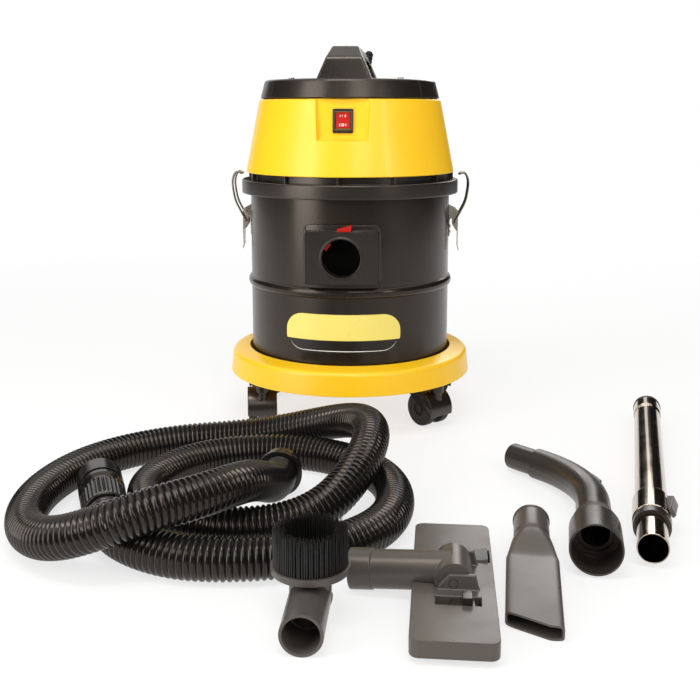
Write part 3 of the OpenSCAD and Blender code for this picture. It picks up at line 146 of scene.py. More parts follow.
# ---- outlines ----
def rounded(points, steps=6):
    """A closed outline of points (a, b) or (a, b, radius); a radius makes its corner an arc."""
    result = []
    for i, point in enumerate(points):
        here = Vector(point[:2])
        radius = point[2] if len(point) > 2 else 0
        if radius == 0:
            result.append(tuple(here))
            continue
        back = Vector(points[i - 1][:2]) - here
        ahead = Vector(points[(i + 1) % len(points)][:2]) - here
        half = back.angle(ahead) / 2
        reach = min(radius / math.tan(half), 0.49 * back.length, 0.49 * ahead.length)
        back.normalize()
        ahead.normalize()
        centre = here + (back + ahead).normalized() * reach / math.cos(half)
        first = here + back * reach - centre
        last = here + ahead * reach - centre
        bend = math.pi - 2 * half
        for k in range(steps + 1):
            share = k / steps
            arm = first * math.sin((1 - share) * bend) + last * math.sin(share * bend)
            result.append(tuple(centre + arm / math.sin(bend)))
    return result


def rounded_box(width, height, radius, steps=6):
    """A flat rectangle with round corners, about the origin."""
    x, y = width / 2, height / 2
    corners = [(-x, -y, radius), (x, -y, radius), (x, y, radius), (-x, y, radius)]
    return rounded(corners, steps=steps)


def mirrored(right):
    """A rounded outline that is the same on both sides, from its right-hand points."""
    left = [(-x, *rest) for x, *rest in right]
    return rounded([left[0], *right, *reversed(left[1:])])


def arc(radius, start, end, steps, centre=(0, 0)):
    """Points on an arc, from angle start to end in degrees."""
    angles = [math.radians(start + (end - start) * k / steps) for k in range(steps + 1)]
    return [(centre[0] + radius * math.cos(a), centre[1] + radius * math.sin(a)) for a in angles]


def smooth_step(value):
    """0 below 0, 1 above 1, and a smooth rise between them."""
    value = min(max(value, 0), 1)
    return value * value * (3 - 2 * value)


def through(points, steps):
    """A smooth line through points, by Catmull-Rom."""
    points = [Vector(p) for p in points]
    padded = [2 * points[0] - points[1], *points, 2 * points[-1] - points[-2]]
    line = []
    for a, b, c, d in zip(padded, padded[1:], padded[2:], padded[3:]):
        for k in range(steps):
            t = k / steps
            line.append(0.5 * (2 * b + (c - a) * t + (2 * a - 5 * b + 4 * c - d) * t ** 2
                               + (3 * b - a - 3 * c + d) * t ** 3))
    return [*line, points[-1]]


def finer(points, step):
    """The same line with points no further apart than step."""
    result = []
    for (a0, b0), (a1, b1) in zip(points, points[1:]):
        count = max(1, math.ceil(math.dist((a0, b0), (a1, b1)) / step))
        result += [(a0 + (a1 - a0) * k / count, b0 + (b1 - b0) * k / count) for k in range(count)]
    return [*result, points[-1]]


# ---- meshes ----
def linked(name, data):
    """A new object of this data, in the scene."""
    made = bpy.data.objects.new(name, data)
    bpy.context.scene.collection.objects.link(made)
    return made


def finished(made, paints, crease):
    """Gives an object its finishes, and smooth shading up to the crease angle in degrees."""
    for paint in paints:
        made.data.materials.append(paint)
    made.data.polygons.foreach_set("use_smooth", [True] * len(made.data.polygons))
    made.data.set_sharp_from_angle(angle=math.radians(crease))


class Shape:
    """A mesh in the making, in millimetres in the piece's own frame."""

    def __init__(self, mesh=None):
        self.mesh = mesh or bmesh.new()

    def rings(self, rings, loop=False, caps=True):
        """Skins rings of points in turn, and closes both ends or joins the last to the first."""
        rows = [[self.mesh.verts.new(p) for p in ring] for ring in rings]
        pairs = list(zip(rows, rows[1:])) + ([(rows[-1], rows[0])] if loop else [])
        for low, high in pairs:
            for k in range(len(low)):
                n = (k + 1) % len(low)
                self.mesh.faces.new((low[k], low[n], high[n], high[k]))
        if caps and not loop:
            self.mesh.faces.new(list(reversed(rows[0])))
            self.mesh.faces.new(rows[-1])
        return self

    def lathe(self, profile, steps, to=None, loop=True, radius=None):
        """Turns a profile of (radius, height) round Z; radius(r, z, angle) may shape it further."""
        to = to or Matrix()
        radius = radius or (lambda r, z, angle: r)
        angles = [2 * math.pi * k / steps for k in range(steps)]
        rings = []
        for r, z in profile:
            reaches = [(radius(r, z, a), a) for a in angles]
            rings.append([to @ Vector((reach * math.cos(a), reach * math.sin(a), z))
                          for reach, a in reaches])
        return self.rings(rings, loop=loop, caps=False)

    def prism(self, outline, low, high, to=None):
        """Pushes a flat outline from height low to high."""
        to = to or Matrix()
        rings = [[to @ Vector((x, y, z)) for x, y in outline] for z in (low, high)]
        return self.rings(rings)

    def tube(self, line, radius, sides):
        """Sweeps a circle along a line; radius may be a function of the share of the way."""
        line = [Vector(p) for p in line]
        side = Vector((0, 0, 1))
        rings = []
        for i, point in enumerate(line):
            heading = (line[min(i + 1, len(line) - 1)] - line[max(i - 1, 0)]).normalized()
            side = (side - heading * side.dot(heading)).normalized()
            up = heading.cross(side)
            r = radius(i / (len(line) - 1)) if callable(radius) else radius
            angles = [2 * math.pi * k / sides for k in range(sides)]
            rings.append([point + r * (math.cos(a) * side + math.sin(a) * up) for a in angles])
        return self.rings(rings)

    def soften(self, width, angle, segments):
        """Rounds every edge that is sharper than angle."""
        limit = math.radians(angle)
        edges = [e for e in self.mesh.edges
                 if len(e.link_faces) == 2 and e.calc_face_angle(0) > limit]
        bmesh.ops.bevel(self.mesh, geom=edges, offset=width, segments=segments, profile=0.5,
                        affect="EDGES", clamp_overlap=False)
        return self

    def modified(self, add_modifiers, *others):
        """Takes the shape that modifiers make of this one."""
        target = self.as_object("target")
        tools = [other.as_object("tool") for other in others]
        add_modifiers(target, tools)
        depsgraph = bpy.context.evaluated_depsgraph_get()
        result = bpy.data.meshes.new_from_object(target.evaluated_get(depsgraph))
        for spare in (target, *tools):
            bpy.data.objects.remove(spare)
        self.mesh = bmesh.new()
        self.mesh.from_mesh(result)
        bpy.data.meshes.remove(result)
        return self

    def combined(self, operation, others):
        """Joins other shapes to this one by a boolean operation."""
        def add_modifiers(target, tools):
            for tool in tools:
                boolean = target.modifiers.new("combine", "BOOLEAN")
                boolean.operation = operation
                boolean.object = tool
                boolean.solver = "EXACT"
        return self.modified(add_modifiers, *others)

    def cut(self, *others):
        """Takes other shapes away."""
        return self.combined("DIFFERENCE", others)

    def meet(self, *others):
        """Keeps what lies in every shape."""
        return self.combined("INTERSECT", others)

    def melt(self, cell, rounds):
        """Makes the shape anew of small even cells and rounds its edges by smoothing."""
        def add_modifiers(target, tools):
            remesh = target.modifiers.new("cells", "REMESH")
            remesh.mode = "VOXEL"
            remesh.voxel_size = cell
            soft = target.modifiers.new("soft", "SMOOTH")
            soft.iterations = rounds
        return self.modified(add_modifiers)

    def as_object(self, name):
        """A plain object of this shape, with its faces turned outwards."""
        bmesh.ops.remove_doubles(self.mesh, verts=self.mesh.verts, dist=1e-4)
        bmesh.ops.recalc_face_normals(self.mesh, faces=self.mesh.faces)
        data = bpy.data.meshes.new(name)
        self.mesh.to_mesh(data)
        self.mesh.free()
        return linked(name, data)


def sort_by_place(mesh):
    """Lists points and faces by where they lie, since extruding leaves them in any order."""
    for items, place in ((mesh.verts, lambda point: point.co),
                         (mesh.faces, lambda face: face.calc_center_median())):
        listed = sorted(items, key=lambda item: [round(c, 3) for c in place(item)])
        items.sort(key={item: rank for rank, item in enumerate(listed)}.get)


def node_shape(node):
    """A CAD node's mesh as a shape, with flat regions joined again."""
    mesh = bmesh.new()
    mesh.from_mesh(frame["nodes"][node].data)
    mesh.transform(Matrix.Scale(1 / MM, 4))
    bmesh.ops.remove_doubles(mesh, verts=mesh.verts, dist=SAME_POINT)
    bmesh.ops.dissolve_limit(mesh, angle_limit=math.radians(FLAT_ANGLE), verts=mesh.verts,
                             edges=mesh.edges)
    return Shape(mesh)


def piece(name, shape, paints, body, at=None, stands_for=(), crease=32):
    """Finishes a shape as a piece that rides on a body."""
    made = shape.as_object(name)
    made.data.transform(TO_METRES @ (at or Matrix()))
    finished(made, paints if isinstance(paints, list) else [paints], crease)
    made.modifiers.new("even shading", "WEIGHTED_NORMAL").keep_sharp = True
    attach(made, body)
    if stands_for:
        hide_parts(*stands_for)
    return made


def softened(node, paint, width, angle=30, segments=2):
    """The CAD node's own shape with its edges rounded, in the node's place."""
    shape = node_shape(node)
    if width > 0:
        shape.soften(width, angle, segments)
    return piece(f"{node}_soft", shape, paint, frame["nodes"][node]["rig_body"],
                 stands_for=[node])


def dress(node, paint):
    """Keeps a CAD node and gives it a finish."""
    made = frame["nodes"][node]
    made.data.materials.clear()
    finished(made, [paint], DRESS_CREASE)


# ---- finishes ----
class Nodes:
    """A material's node tree, built up a node at a time."""

    def __init__(self, name):
        self.material = bpy.data.materials.new(name)
        self.material.use_nodes = True
        self.tree = self.material.node_tree
        self.shader = self.tree.nodes["Principled BSDF"]
        self.place = self.add("ShaderNodeTexCoord").outputs["Object"]

    def add(self, kind, **inputs):
        """A new node; an input's value is a number, a colour or another node's output."""
        node = self.tree.nodes.new(kind)
        for key, value in inputs.items():
            self.feed(node.inputs[key.replace("_", " ")], value)
        return node

    def feed(self, socket, value):
        """Sets a socket, or links it where the value is another node's output."""
        if isinstance(value, bpy.types.NodeSocket):
            self.tree.links.new(value, socket)
        else:
            socket.default_value = value

    def noise(self, scale, detail, roughness=0.55):
        """Soft noise in the piece's own place, about 0.3 to 0.7."""
        made = self.add("ShaderNodeTexNoise", Vector=self.place, Scale=scale, Detail=detail,
                        Roughness=roughness)
        return made.outputs["Fac"]

    def spread(self, value, low, high, start=0.3, end=0.7):
        """The stretch from start to end, laid over low to high."""
        made = self.add("ShaderNodeMapRange", Value=value, From_Min=start, From_Max=end, To_Min=low,
                        To_Max=high)
        return made.outputs["Result"]

    def between(self, share, first, second):
        """A colour between two others."""
        made = self.tree.nodes.new("ShaderNodeMix")
        made.data_type = "RGBA"
        self.feed(made.inputs["Factor"], share)
        self.feed(made.inputs["A"], first)
        self.feed(made.inputs["B"], second)
        return [o for o in made.outputs if o.type == "RGBA"][0]

    def bump(self, height, depth, strength, under=None):
        """A fine relief, laid over another where one is given."""
        made = self.add("ShaderNodeBump", Height=height, Distance=depth, Strength=strength)
        if under is not None:
            self.tree.links.new(under, made.inputs["Normal"])
        return made.outputs["Normal"]

    def set(self, **sockets):
        """Sets the shader's sockets, and gives the material."""
        for key, value in sockets.items():
            self.feed(self.shader.inputs[key.replace("_", " ")], value)
        return self.material


def shade(colour, factor):
    """A lighter or darker colour, without alpha of its own."""
    return (*[min(c * factor, 1) for c in colour[:3]], 1)


WHITE = (1, 1, 1, 1)
WARM_SHEEN = (1, 0.86, 0.75, 1)  # tint of the blacks' gloss


def moulded(name, colour, roughness, grain=900, strength=0.25, mottle=0.12, coat=0.0,
            specular=0.5, tint=WHITE):
    """Moulded plastic: a fine grain, slow colour drift and uneven gloss."""
    nodes = Nodes(name)
    drift = nodes.between(nodes.noise(9, 4), shade(colour, 1 - mottle), shade(colour, 1 + mottle))
    speck = nodes.between(nodes.spread(nodes.noise(grain / 3, 2), 0, 0.35, 0.55, 0.75), drift,
                          shade(colour, 1 + 2 * mottle))
    gloss = nodes.spread(nodes.noise(22, 5), roughness - 0.05, roughness + 0.06)
    coarse = nodes.bump(nodes.noise(28, 2), 0.0004, 0.05)
    fine = nodes.bump(nodes.noise(grain, 2, 0.7), 0.00012, strength, under=coarse)
    return nodes.set(Base_Color=speck, Roughness=gloss, Normal=fine, Coat_Weight=coat,
                     Specular_IOR_Level=specular, Specular_Tint=tint)


def enamel(name, colour, roughness):
    """Satin enamel on sheet steel: orange peel, faint dust specks and rubbed patches."""
    nodes = Nodes(name)
    drift = nodes.between(nodes.noise(6, 5), shade(colour, 0.85), shade(colour, 1.2))
    dust = nodes.spread(nodes.noise(420, 2, 0.8), 0, 1, 0.76, 0.82)
    worn = nodes.between(dust, drift, shade(colour, 5))
    gloss = nodes.spread(nodes.noise(14, 6), roughness - 0.04, roughness + 0.08)
    peel = nodes.bump(nodes.noise(240, 2), 0.0002, 0.1)
    return nodes.set(Base_Color=worn, Roughness=gloss, Normal=peel, Specular_IOR_Level=0.55,
                     Specular_Tint=WARM_SHEEN)


def plated(name, colour, roughness, brush=0.0):
    """Plated or bare metal: fine scratches and cloudy gloss."""
    nodes = Nodes(name)
    cloud = nodes.between(nodes.noise(30, 5), shade(colour, 0.82), shade(colour, 1.1))
    gloss = nodes.spread(nodes.noise(60, 6), roughness * 0.7, roughness * 1.4)
    marks = nodes.bump(nodes.noise(700, 4, 0.7), 0.00008, 0.12 + brush)
    return nodes.set(Base_Color=cloud, Roughness=gloss, Metallic=1.0, Normal=marks)


def chromed(name, colour):
    """Bright chrome tube: nearly a mirror, with faint lengthwise polish."""
    nodes = Nodes(name)
    cloud = nodes.between(nodes.noise(12, 3), shade(colour, 0.92), shade(colour, 1.06))
    gloss = nodes.spread(nodes.noise(40, 5), 0.1, 0.17)
    marks = nodes.bump(nodes.noise(260, 3), 0.00005, 0.08)
    return nodes.set(Base_Color=cloud, Roughness=gloss, Metallic=1.0, Normal=marks)


def cloth(name, colour):
    """Woven filter cloth: crossed threads and a soft, uneven dye."""
    nodes = Nodes(name)
    weave = nodes.add("ShaderNodeTexVoronoi", Vector=nodes.place, Scale=900.0).outputs["Distance"]
    dye = nodes.between(nodes.noise(30, 6), shade(colour, 0.86), shade(colour, 1.05))
    gaps = nodes.between(nodes.spread(weave, 0, 0.5, 0.3, 0.8), dye, shade(colour, 0.55))
    folds = nodes.bump(nodes.noise(60, 4), 0.002, 0.3)
    threads = nodes.bump(weave, 0.0004, 0.5, under=folds)
    return nodes.set(Base_Color=gaps, Roughness=0.92, Sheen_Weight=0.3, Normal=threads)


def wound_copper(name, colour):
    """Varnished copper wire beside the motor's laminations."""
    nodes = Nodes(name)
    wires = nodes.add("ShaderNodeTexWave", Vector=nodes.place, Scale=260.0, Distortion=1.5)
    tone = nodes.between(wires.outputs["Fac"], shade(colour, 0.5), shade(colour, 1.1))
    turns = nodes.bump(wires.outputs["Fac"], 0.0004, 0.6)
    return nodes.set(Base_Color=tone, Roughness=0.38, Metallic=0.8, Normal=turns)


SMOOTH = {"strength": 0.06, "mottle": 0.03}
FINISHES = {  # each finish's kind, its colour's name, the share of that colour, and its settings
    "drum_black": (enamel, "drum_black", 1, {"roughness": 0.22}),
    "shell_yellow": (moulded, "shell_yellow", 1, {"roughness": 0.34, "mottle": 0.03,
                                                  "strength": 0.1, "coat": 0.08}),
    "lid_black": (moulded, "lid_black", 1, {"roughness": 0.31, "strength": 0.2, "specular": 0.75,
                                            "tint": WARM_SHEEN}),
    # painted shade: the lid's black at 0.4, dull and with little gloss, so that the deflector deep
    # in the inlet's bore reads as dark as the shade there; the part's own black is real
    "inner_black": (moulded, "lid_black", 0.4, {"roughness": 0.7, "strength": 0.1,
                                                "specular": 0.1}),
    "bezel_brown": (moulded, "bezel_brown", 1, {"roughness": 0.35, "strength": 0.1}),
    # painted highlight: the mould-line dots get the bezel's lighter brown in place of the lid's
    # black, for the light that catches them; the dots' relief is real
    "mould_line": (moulded, "bezel_brown", 1, {"roughness": 0.5, "strength": 0.1}),
    "tool_grey": (moulded, "tool_grey", 1, {"roughness": 0.32, "grain": 1300, "strength": 0.3,
                                            "mottle": 0.1, "tint": WARM_SHEEN}),
    "grip_black": (moulded, "grip_black", 1, {"roughness": 0.3, "grain": 1300, "mottle": 0.1,
                                              "tint": WARM_SHEEN}),
    "hose_black": (moulded, "hose_black", 1, {"roughness": 0.2, "grain": 500, "strength": 0.12,
                                              "specular": 0.45, "tint": WARM_SHEEN}),
    "wheel_black": (moulded, "lid_black", 1, {"roughness": 0.5, "grain": 700, "specular": 0.3}),
    "pad_rubber": (moulded, "hose_black", 1, {"roughness": 0.7, "grain": 600, "strength": 0.4}),
    "rocker_red": (moulded, "rocker_red", 1, {"roughness": 0.42, "strength": 0.05,
                                              "specular": 0.15}),
    "catch_red": (moulded, "rocker_red", 1, {"roughness": 0.45, "specular": 0.15}),
    "pedal_grey": (moulded, "pedal_grey", 1, {"roughness": 0.45}),
    "label_yellow": (moulded, "label_yellow", 1, {"roughness": 0.3, **SMOOTH}),
    "label_black": (moulded, "drum_black", 1, {"roughness": 0.3, "strength": 0.06}),
    "label_line": (moulded, "mark_white", 1, {"roughness": 0.35, **SMOOTH}),
    "mark_white": (moulded, "mark_white", 1, {"roughness": 0.35, **SMOOTH}),
    "zinc": (plated, "zinc", 1, {"roughness": 0.3}),
    "wire_steel": (plated, "zinc", 0.45, {"roughness": 0.22}),
    "tube_chrome": (chromed, "chrome", 1, {}),
    "lamination": (plated, "lamination", 1, {"roughness": 0.45, "brush": 0.3}),
    "copper": (wound_copper, "copper", 1, {}),
    "filter_cloth": (cloth, "filter_cloth", 1, {}),
    "bristle_black": (moulded, "bristle_black", 1, {"roughness": 0.38, "grain": 300,
                                                    "mottle": 0.3}),
}


def finish(name):
    """The finish of that name, made the first time that it is asked for.

    No finish has the name of one of the frame's own materials, which would be taken in its place.
    """
    if name in bpy.data.materials:
        return bpy.data.materials[name]
    kind, colour, share, settings = FINISHES[name]
    chosen = getattr(bpy.context.scene.vacuum_finishes, colour)
    return kind(name, shade(chosen, share), **settings)


# ---- what a user would change ----
def length_property(label, help_text, millimetres):
    """A length that a user may change, given in millimetres."""
    return FloatProperty(name=label, description=help_text, default=millimetres * MM, unit="LENGTH",
                         subtype="DISTANCE", min=0)


def colour_property(label, help_text, colour):
    """A colour that a user may change."""
    return FloatVectorProperty(name=label, description=help_text, default=(*colour, 1), size=4,
                               subtype="COLOR", min=0, max=1)


class VacuumSizes(PropertyGroup):
    """Sizes of the details that the CAD frame leaves open"""

    bead_out: length_property("Bead", "How far the drum's rolled bead stands out", 4.4)
    bead_height: length_property("Bead height", "Height of the drum's rolled bead", 15)
    rim_roll: length_property("Rim roll", "Radius of the roll round the drum's rim", 2.4)
    edge_round: length_property("Edge rounding", "Rounding of the mouldings' edges", 1.2)
    ring_round: length_property("Ring rounding", "Rounding of the base ring's upper edge", 7)
    rib_pitch: length_property("Rib pitch", "Distance from one rib of the hose to the next", 6.4)
    rib_depth: length_property("Rib depth", "Depth of the hose's ribs", 2.2)
    bristle_thickness: length_property("Bristle", "Thickness of one clump of bristles", 1.5)
    cuff_flutes: IntProperty(name="Cuff flutes", description="Grooves round the hose cuff",
                             default=30, min=6, max=80)
    bag_pleats: IntProperty(name="Bag pleats", description="Pleats round the filter bag",
                            default=26, min=6, max=80)


class VacuumFinishes(PropertyGroup):
    """Colours of the finishes"""

    drum_black: colour_property("Drum", "Enamel of the drum", (0.0125, 0.0092, 0.0064))
    shell_yellow: colour_property("Yellow", "Head shell and base ring", (0.96, 0.56, 0.010))
    lid_black: colour_property("Mouldings", "Lid, handle, band and inlet", (0.013, 0.0112, 0.0098))
    tool_grey: colour_property("Tools", "Floor tool, crevice tool and brush", (0.075, 0.067, 0.06))
    grip_black: colour_property("Grip", "Bent grip with its cuff", (0.03, 0.026, 0.023))
    hose_black: colour_property("Hose", "Hose and its fittings", (0.0075, 0.0072, 0.0068))
    bezel_brown: colour_property("Bezel", "Inner rim of the switch's bezel", (0.11, 0.085, 0.068))
    rocker_red: colour_property("Red", "Rocker and inlet catch", (0.45, 0.012, 0.006))
    pedal_grey: colour_property("Pedal", "Pedal of the floor tool", (0.12, 0.125, 0.12))
    label_yellow: colour_property("Label", "Upper part of the bare label plate", (0.88, 0.73, 0.17))
    mark_white: colour_property("Marks", "Switch marks and label line", (0.8, 0.78, 0.74))
    zinc: colour_property("Zinc", "Latches, screws and stems", (0.6, 0.53, 0.43))
    chrome: colour_property("Chrome", "Wand tubes", (0.5, 0.41, 0.33))
    lamination: colour_property("Laminations", "Iron core of the motor", (0.25, 0.25, 0.26))
    copper: colour_property("Copper", "Windings of the motor", (0.72, 0.3, 0.12))
    filter_cloth: colour_property("Cloth", "Filter bag", (0.72, 0.68, 0.58))
    bristle_black: colour_property("Bristles", "Brush and floor tool's strips",
                                   (0.01, 0.0095, 0.009))


class PieceOperator(Operator):
    """Base of the operators that each make a piece or a group of like pieces"""

    bl_options = {"REGISTER", "UNDO"}


# ---- drum ----
DRUM_R = 147.4
DRUM_WALL = 1.5
DRUM_FOOT = 12
DRUM_STEPS = 192
BEAD_Z = 203
BEAD_STEPS = 16
INLET_HOLE_R = 29.4
INLET_HOLE_STEPS = 47


def drum_bead(wall_r, size, upward):
    """The rolled bead's bulge on a wall, from its foot to its head or back."""
    out = size.bead_out / MM
    half = size.bead_height / MM / 2
    shares = [-1 + 2 * k / BEAD_STEPS for k in range(BEAD_STEPS + 1)]
    points = [(wall_r + out * max(0, 1 - abs(t) ** 2.4) ** 0.8, BEAD_Z + half * t) for t in shares]
    return points if upward else points[::-1]


class VACUUM_OT_drum(PieceOperator):
    """Makes the black drum with its rolled bead and rim"""

    bl_idname = "vacuum.drum"
    bl_label = "Drum"

    def execute(self, context):
        size = context.scene.vacuum_sizes
        inner_r = DRUM_R - DRUM_WALL
        roll = size.rim_roll / MM
        roll_z = RIM_Z - roll
        foot = (DRUM_R - DRUM_FOOT, DRUM_Z + DRUM_FOOT)
        profile = [(0, DRUM_Z), *arc(DRUM_FOOT, -90, 0, 8, foot), *drum_bead(DRUM_R, size, True),
                   (DRUM_R, roll_z - roll - 1), *arc(roll, -60, 200, 14, (DRUM_R, roll_z)),
                   (inner_r, roll_z - roll), *drum_bead(inner_r, size, False),
                   *arc(DRUM_FOOT - DRUM_WALL, 0, -90, 8, foot), (0, DRUM_Z + DRUM_WALL)]
        shape = Shape().lathe(profile, DRUM_STEPS, loop=False)
        forwards = shift(0, 0, INLET_Z) @ turn(90, "X") @ Matrix.Scale(-1, 4, (0, 0, 1))
        hole = Shape().prism(arc(INLET_HOLE_R, 0, 352.5, INLET_HOLE_STEPS), -DRUM_R - 9,
                             -DRUM_R / 2, forwards)
        piece("drum", shape.cut(hole), finish("drum_black"), "machine", AT_MACHINE,
              ["tank"])
        dress("tank_gasket", finish("pad_rubber"))
        return {"FINISHED"}


# ---- base ring ----
BASE_IN_R = 151
BASE_WALL = 3.5
BASE_DRAFT = 3.8
RING_TOP = 98
DECK_IN_Z = 103
FLOOR_T = 4
CASTERS = ("fl", "fr", "rl", "rr")
BOSS_R = 12
STEM_HOLE_R = 5.05


def caster_spot(key):
    """Where a caster's stem stands, in millimetres from the drum's axis."""
    place = Vector(JOINTS[f"caster_{key}_swivel"]["pos_m"]) / MM - AXIS
    return place.x, place.y


class VACUUM_OT_base_ring(PieceOperator):
    """Makes the yellow base ring that the drum stands in"""

    bl_idname = "vacuum.base_ring"
    bl_label = "Base ring"

    def execute(self, context):
        size = context.scene.vacuum_sizes
        corner = size.ring_round / MM
        wall_in, deck_in = BASE_R - BASE_WALL, BASE_IN_R + BASE_WALL
        profile = rounded([(0, DRUM_Z), (BASE_IN_R, DRUM_Z), (BASE_IN_R, DECK_IN_Z, 1.2),
                           (BASE_R - BASE_DRAFT, RING_TOP, corner), (BASE_R, BASE_Z, 0.8),
                           (wall_in, BASE_Z, 0.8), (wall_in - 4, RING_TOP - BASE_WALL, 4),
                           (deck_in, DECK_IN_Z - BASE_WALL), (deck_in, DRUM_Z - FLOOR_T),
                           (0, DRUM_Z - FLOOR_T)])
        shape = Shape().lathe(profile, DRUM_STEPS, loop=False)
        boss = rounded([(STEM_HOLE_R, BASE_Z + 1, 0.6), (BOSS_R, BASE_Z + 1, 1),
                        (BOSS_R, RING_TOP - 1), (STEM_HOLE_R, RING_TOP - 8)])
        for key in CASTERS:
            shape.lathe(boss, 40, shift(*caster_spot(key), 0))
        piece("base_ring_moulding", shape, finish("shell_yellow"), "machine", AT_MACHINE,
              ["base_ring"])
        return {"FINISHED"}


# ---- casters ----
WHEEL_R = 25
WHEEL_W = 12.5
WEB_W = 13
WHEEL_GAP = 0.6
HUB_IN_R, HUB_R = 8.5, 9.5
CAP_R = 6.6
AXLE_R = 3
AXLE_L = 38


class VACUUM_OT_casters(PieceOperator):
    """Makes the four swivel casters with their hoods, stems and twin wheels"""

    bl_idname = "vacuum.casters"
    bl_label = "Casters"

    def execute(self, context):
        size = context.scene.vacuum_sizes
        half = WHEEL_W / 2
        tread = rounded([(0, half - 2), (HUB_IN_R, half - 2, 0.6), (HUB_R, half, 0.8),
                         (WHEEL_R, half, 3), (WHEEL_R, -half, 2), (HUB_R, -half, 0.8),
                         (HUB_IN_R, -half + 1.5, 0.6), (0, -half + 1.5)])
        cap = rounded([(0, half - 0.6), (CAP_R - 0.6, half - 0.8, 0.8), (CAP_R, half - 2.4),
                       (0, half - 2.4)])
        axle = [(0, -AXLE_L / 2), (AXLE_R, -AXLE_L / 2), (AXLE_R, AXLE_L / 2), (0, AXLE_L / 2)]
        for key in CASTERS:
            joint = JOINTS[f"caster_{key}_spin"]
            at = along(Vector(joint["pos_m"]) / MM, joint["axis"])
            wheels = Shape()
            for side in (-1, 1):
                place = shift(0, side * (WEB_W / 2 + WHEEL_GAP + half), 0) @ turn(-90 * side, "X")
                wheels.lathe(tread, 72, place, loop=False).lathe(cap, 40, place, loop=False)
            wheels.lathe(axle, 24, turn(90, "X"), loop=False)
            piece(f"caster_{key}_twin_wheels", wheels, finish("wheel_black"), f"caster_{key}_axle",
                  at, [f"caster_{key}_wheels"])
            softened(f"caster_{key}_hood", finish("lid_black"),
                     size.edge_round / MM)
            dress(f"caster_{key}_stem", finish("zinc"))
        return {"FINISHED"}


# ---- inlet and label ----
class VACUUM_OT_inlet(PieceOperator):
    """Makes the hose inlet with its red catch"""

    bl_idname = "vacuum.inlet"
    bl_label = "Hose inlet"

    def execute(self, context):
        size = context.scene.vacuum_sizes
        softened("inlet_housing", finish("lid_black"), size.edge_round / MM,
                 angle=40)
        softened("inlet_catch", finish("catch_red"), 0.4)
        # The deflector's finish is darker than its own black: painted shade inside the inlet's
        # bore.
        dress("inlet_deflector", finish("inner_black"))
        return {"FINISHED"}


LABEL_W = 159
LABEL_H = 55
LABEL_ROUND = 24
LABEL_T = 0.6
LABEL_Z = 146
LABEL_SPLIT_Z = 137
LABEL_GAP = 0.2
LABEL_FACETS = range(-76, 77, 4)  # where the plate is cut upright, so that it can be bent
LABEL_LINE_IN = 3.5
LABEL_LINE_DROP = 3
LABEL_LINE_T = 1.2
LABEL_LINE_STEP = 3


class VACUUM_OT_label(PieceOperator):
    """Makes the bare label plate, yellow over black, with a thin line round its foot"""

    bl_idname = "vacuum.label"
    bl_label = "Label plate"

    def execute(self, context):
        back_r = DRUM_R + LABEL_GAP
        mesh = bmesh.new()
        outline = rounded_box(LABEL_W, LABEL_H, LABEL_ROUND, 16)
        mesh.faces.new([mesh.verts.new((x, 0, LABEL_Z + z)) for x, z in outline])
        cuts = [((x, 0, 0), (1, 0, 0)) for x in LABEL_FACETS]
        cuts.append(((0, 0, LABEL_SPLIT_Z), (0, 0, 1)))
        for point, normal in cuts:
            everything = [*mesh.verts, *mesh.edges, *mesh.faces]
            bmesh.ops.bisect_plane(mesh, geom=everything, plane_co=point, plane_no=normal)
        for face in mesh.faces:
            face.material_index = 1 if face.calc_center_median().z < LABEL_SPLIT_Z else 0
        front = bmesh.ops.extrude_face_region(mesh, geom=mesh.faces[:])
        front_verts = {v for v in front["geom"] if isinstance(v, bmesh.types.BMVert)}
        for v in mesh.verts:
            r = back_r + (LABEL_T if v in front_verts else 0)
            v.co.y = -math.sqrt(r * r - v.co.x ** 2)
        sort_by_place(mesh)
        piece("label_plate_face", Shape(mesh), [finish("label_yellow"), finish("label_black")],
              "machine", AT_MACHINE, ["label_plate"])
        lower = rounded_box(LABEL_W - 2 * LABEL_LINE_IN, LABEL_H - 2 * LABEL_LINE_IN,
                            LABEL_ROUND - LABEL_LINE_IN, 16)
        low_z = LABEL_SPLIT_Z - LABEL_Z - LABEL_LINE_DROP
        run = sorted((p for p in lower if p[1] < low_z), key=lambda p: p[0])
        run = finer(run, LABEL_LINE_STEP)
        r = back_r + LABEL_T
        line = [(x, -math.sqrt(r * r - x * x), LABEL_Z + z) for x, z in run]

        def line_r(share):
            return LABEL_LINE_T / 2 * (0.25 + 0.75 * math.sin(math.pi * share))

        strip = Shape().tube(line, line_r, 8)
        piece("label_line_strip", strip, finish("label_line"), "machine", AT_MACHINE)
        return {"FINISHED"}


# ---- latches ----
BAIL_WIRE_R = 1.5
BAIL_HALF_W = 11
BAIL_RISE = 19
BAIL_SIDES = 14
BAIL_LOW = ((0, 0), (8, 15), (15.5, 31))  # out and up from the pivot
BAIL_BOW = ((19, -24), (19.3, -12), (16.5, -3.5))  # out from the pivot, and down from the top
BAIL_GAP = 0.7
BAND_R = 160
LEVER_CHEEK = 9.2


